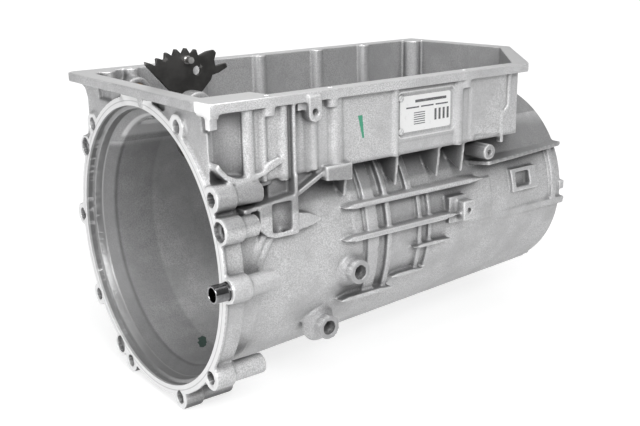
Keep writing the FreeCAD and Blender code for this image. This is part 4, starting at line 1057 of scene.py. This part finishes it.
@dataclass
class Studio:
    """Pale floor, soft light and the camera of the photograph."""

    place: tuple = (-0.3873, -0.8052, 0.2804)
    yaw: float = 36.50
    pitch: float = 15.88
    roll: float = -1.10
    focus: float = 959.7
    frame_width: int = 640
    middle: tuple = (0.24, 0.0, 0.0)
    floor: float = -0.1508
    floor_reach: float = 6
    floor_colour: tuple = (0.42, 0.42, 0.42)
    near_glow: float = 0.72
    # Distances from the middle over which the floor turns white.
    fade: tuple = (0.30, 0.75)
    white: float = 1.1
    # Height of the two ends of the sky's ramp, then its strength there.
    sky_ramp: tuple = (-0.5, 0.9, 0.10, 0.42)
    # Name, place, width and height, and watts of each lamp.
    lamps: tuple = (("top_box", (0.15, -0.25, 1.35), (1.2, 0.9), 7),
                    ("side_box", (-0.25, -1.35, 0.85), (1.0, 0.6), 19),
                    ("front_box", (-1.25, -0.35, 0.45), (0.6, 0.6), 9),
                    ("back_box", (0.9, 1.1, 0.8), (1.2, 0.8), 1.5))

    def camera(self) -> bpy.types.Object:
        """Place the camera and make it the scene's own."""
        yaw, pitch, roll = (math.radians(angle) for angle in (self.yaw, self.pitch, self.roll))
        ahead = Vector((math.sin(yaw) * math.cos(pitch), math.cos(yaw) * math.cos(pitch), -math.sin(pitch)))
        right = Vector((math.cos(yaw), -math.sin(yaw), 0))
        down = ahead.cross(right)
        across = right * math.cos(roll) - down * math.sin(roll)
        below = right * math.sin(roll) + down * math.cos(roll)
        data = bpy.data.cameras.new("photo_camera")
        data.lens = self.focus * data.sensor_width / self.frame_width
        data.clip_start = 0.01
        camera = bpy.data.objects.new("photo_camera", data)
        turn = Matrix((across, -below, -ahead)).transposed().to_4x4()
        camera.matrix_world = Matrix.Translation(self.place) @ turn
        bpy.context.scene.collection.objects.link(camera)
        bpy.context.scene.camera = camera
        return camera

    def ground(self) -> bpy.types.Object:
        """Lay the floor, which turns white for what sees it from afar and keeps the shadow."""
        reach = self.floor_reach
        corners = ((-reach, -reach), (reach, -reach), (reach, reach), (-reach, reach))
        mesh = bpy.data.meshes.new("studio_floor")
        mesh.from_pydata([(x, y, self.floor) for x, y in corners], [], [(0, 1, 2, 3)])
        floor = link("studio_floor", mesh)
        bench = Bench("floor_finish")
        seen = bench.node("ShaderNodeLightPath")
        direct = Shade(bench, seen.outputs["Is Camera Ray"])
        for ray in ("Is Glossy Ray", "Is Transmission Ray"):
            direct = direct.larger(Shade(bench, seen.outputs[ray]))
        away = bench.distance(bench.x, bench.y, self.middle[:2]).rise(*self.fade)
        matt = bench.node("ShaderNodeBsdfDiffuse", None, {"Color": (*self.floor_colour, 1)})
        glow, white = (bench.node("ShaderNodeEmission", None, {"Color": (1, 1, 1, 1), "Strength": strength})
                       for strength in (self.near_glow, self.white))
        lit = bench.node("ShaderNodeAddShader", None, {0: matt.outputs[0], 1: glow.outputs[0]})
        paler = bench.node("ShaderNodeMixShader", None, {0: away, 1: lit.outputs[0], 2: white.outputs[0]})
        both = bench.node("ShaderNodeMixShader", None, {0: direct, 1: matt.outputs[0], 2: paler.outputs[0]})
        bench.node("ShaderNodeOutputMaterial", None, {0: both.outputs[0]})
        floor.data.materials.append(bench.material)
        return floor

    def sky(self) -> None:
        """Surround the object with even light, white for the camera."""
        world = bpy.data.worlds.new("studio")
        bpy.context.scene.world = world
        world.use_nodes = True
        graph = Graph(world.node_tree)
        seen = graph.node("ShaderNodeLightPath")
        place = graph.node("ShaderNodeTexCoord")
        axes = graph.node("ShaderNodeSeparateXYZ", None, {0: place.outputs["Generated"]})
        ramp = graph.node("ShaderNodeMapRange", None,
                          {0: axes.outputs[2], **dict(enumerate(self.sky_ramp, start=1))})
        soft = graph.node("ShaderNodeBackground", None, {"Strength": ramp.outputs[0]})
        white = graph.node("ShaderNodeBackground", None, {"Color": (1, 1, 1, 1), "Strength": self.white})
        both = graph.node("ShaderNodeMixShader", None,
                          {0: seen.outputs["Is Camera Ray"], 1: soft.outputs[0], 2: white.outputs[0]})
        graph.node("ShaderNodeOutputWorld", None, {0: both.outputs[0]})

    def lamp(self, name: str, place: tuple, size: tuple, power: float) -> bpy.types.Object:
        """Hang a soft rectangular lamp of so many watts that points at the middle of the object."""
        data = bpy.data.lights.new(name, "AREA")
        data.shape = "RECTANGLE"
        data.size, data.size_y = size
        data.energy = power
        lamp = bpy.data.objects.new(name, data)
        lamp.location = place
        lamp.rotation_euler = (Vector(self.middle) - Vector(place)).to_track_quat("-Z", "Y").to_euler()
        bpy.context.scene.collection.objects.link(lamp)
        return lamp

    def build(self) -> None:
        """Set up the whole studio."""
        bpy.context.scene.view_settings.view_transform = "Standard"
        self.camera()
        self.ground()
        self.sky()
        for lamp in self.lamps:
            self.lamp(*lamp)


def main() -> None:
    """Build the studio and every piece."""
    logging.basicConfig(level=logging.INFO, format="%(name)s: %(message)s")
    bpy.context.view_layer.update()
    Studio().build()
    finishes = Finishes()
    SteelFittings().build(finishes)
    for assembly in (HousingCasting(), ThreadedHoles(), Label(), LabelFrame(), EdgedParts()):
        assembly.build(finishes)


if __name__ == "__main__":
    main()
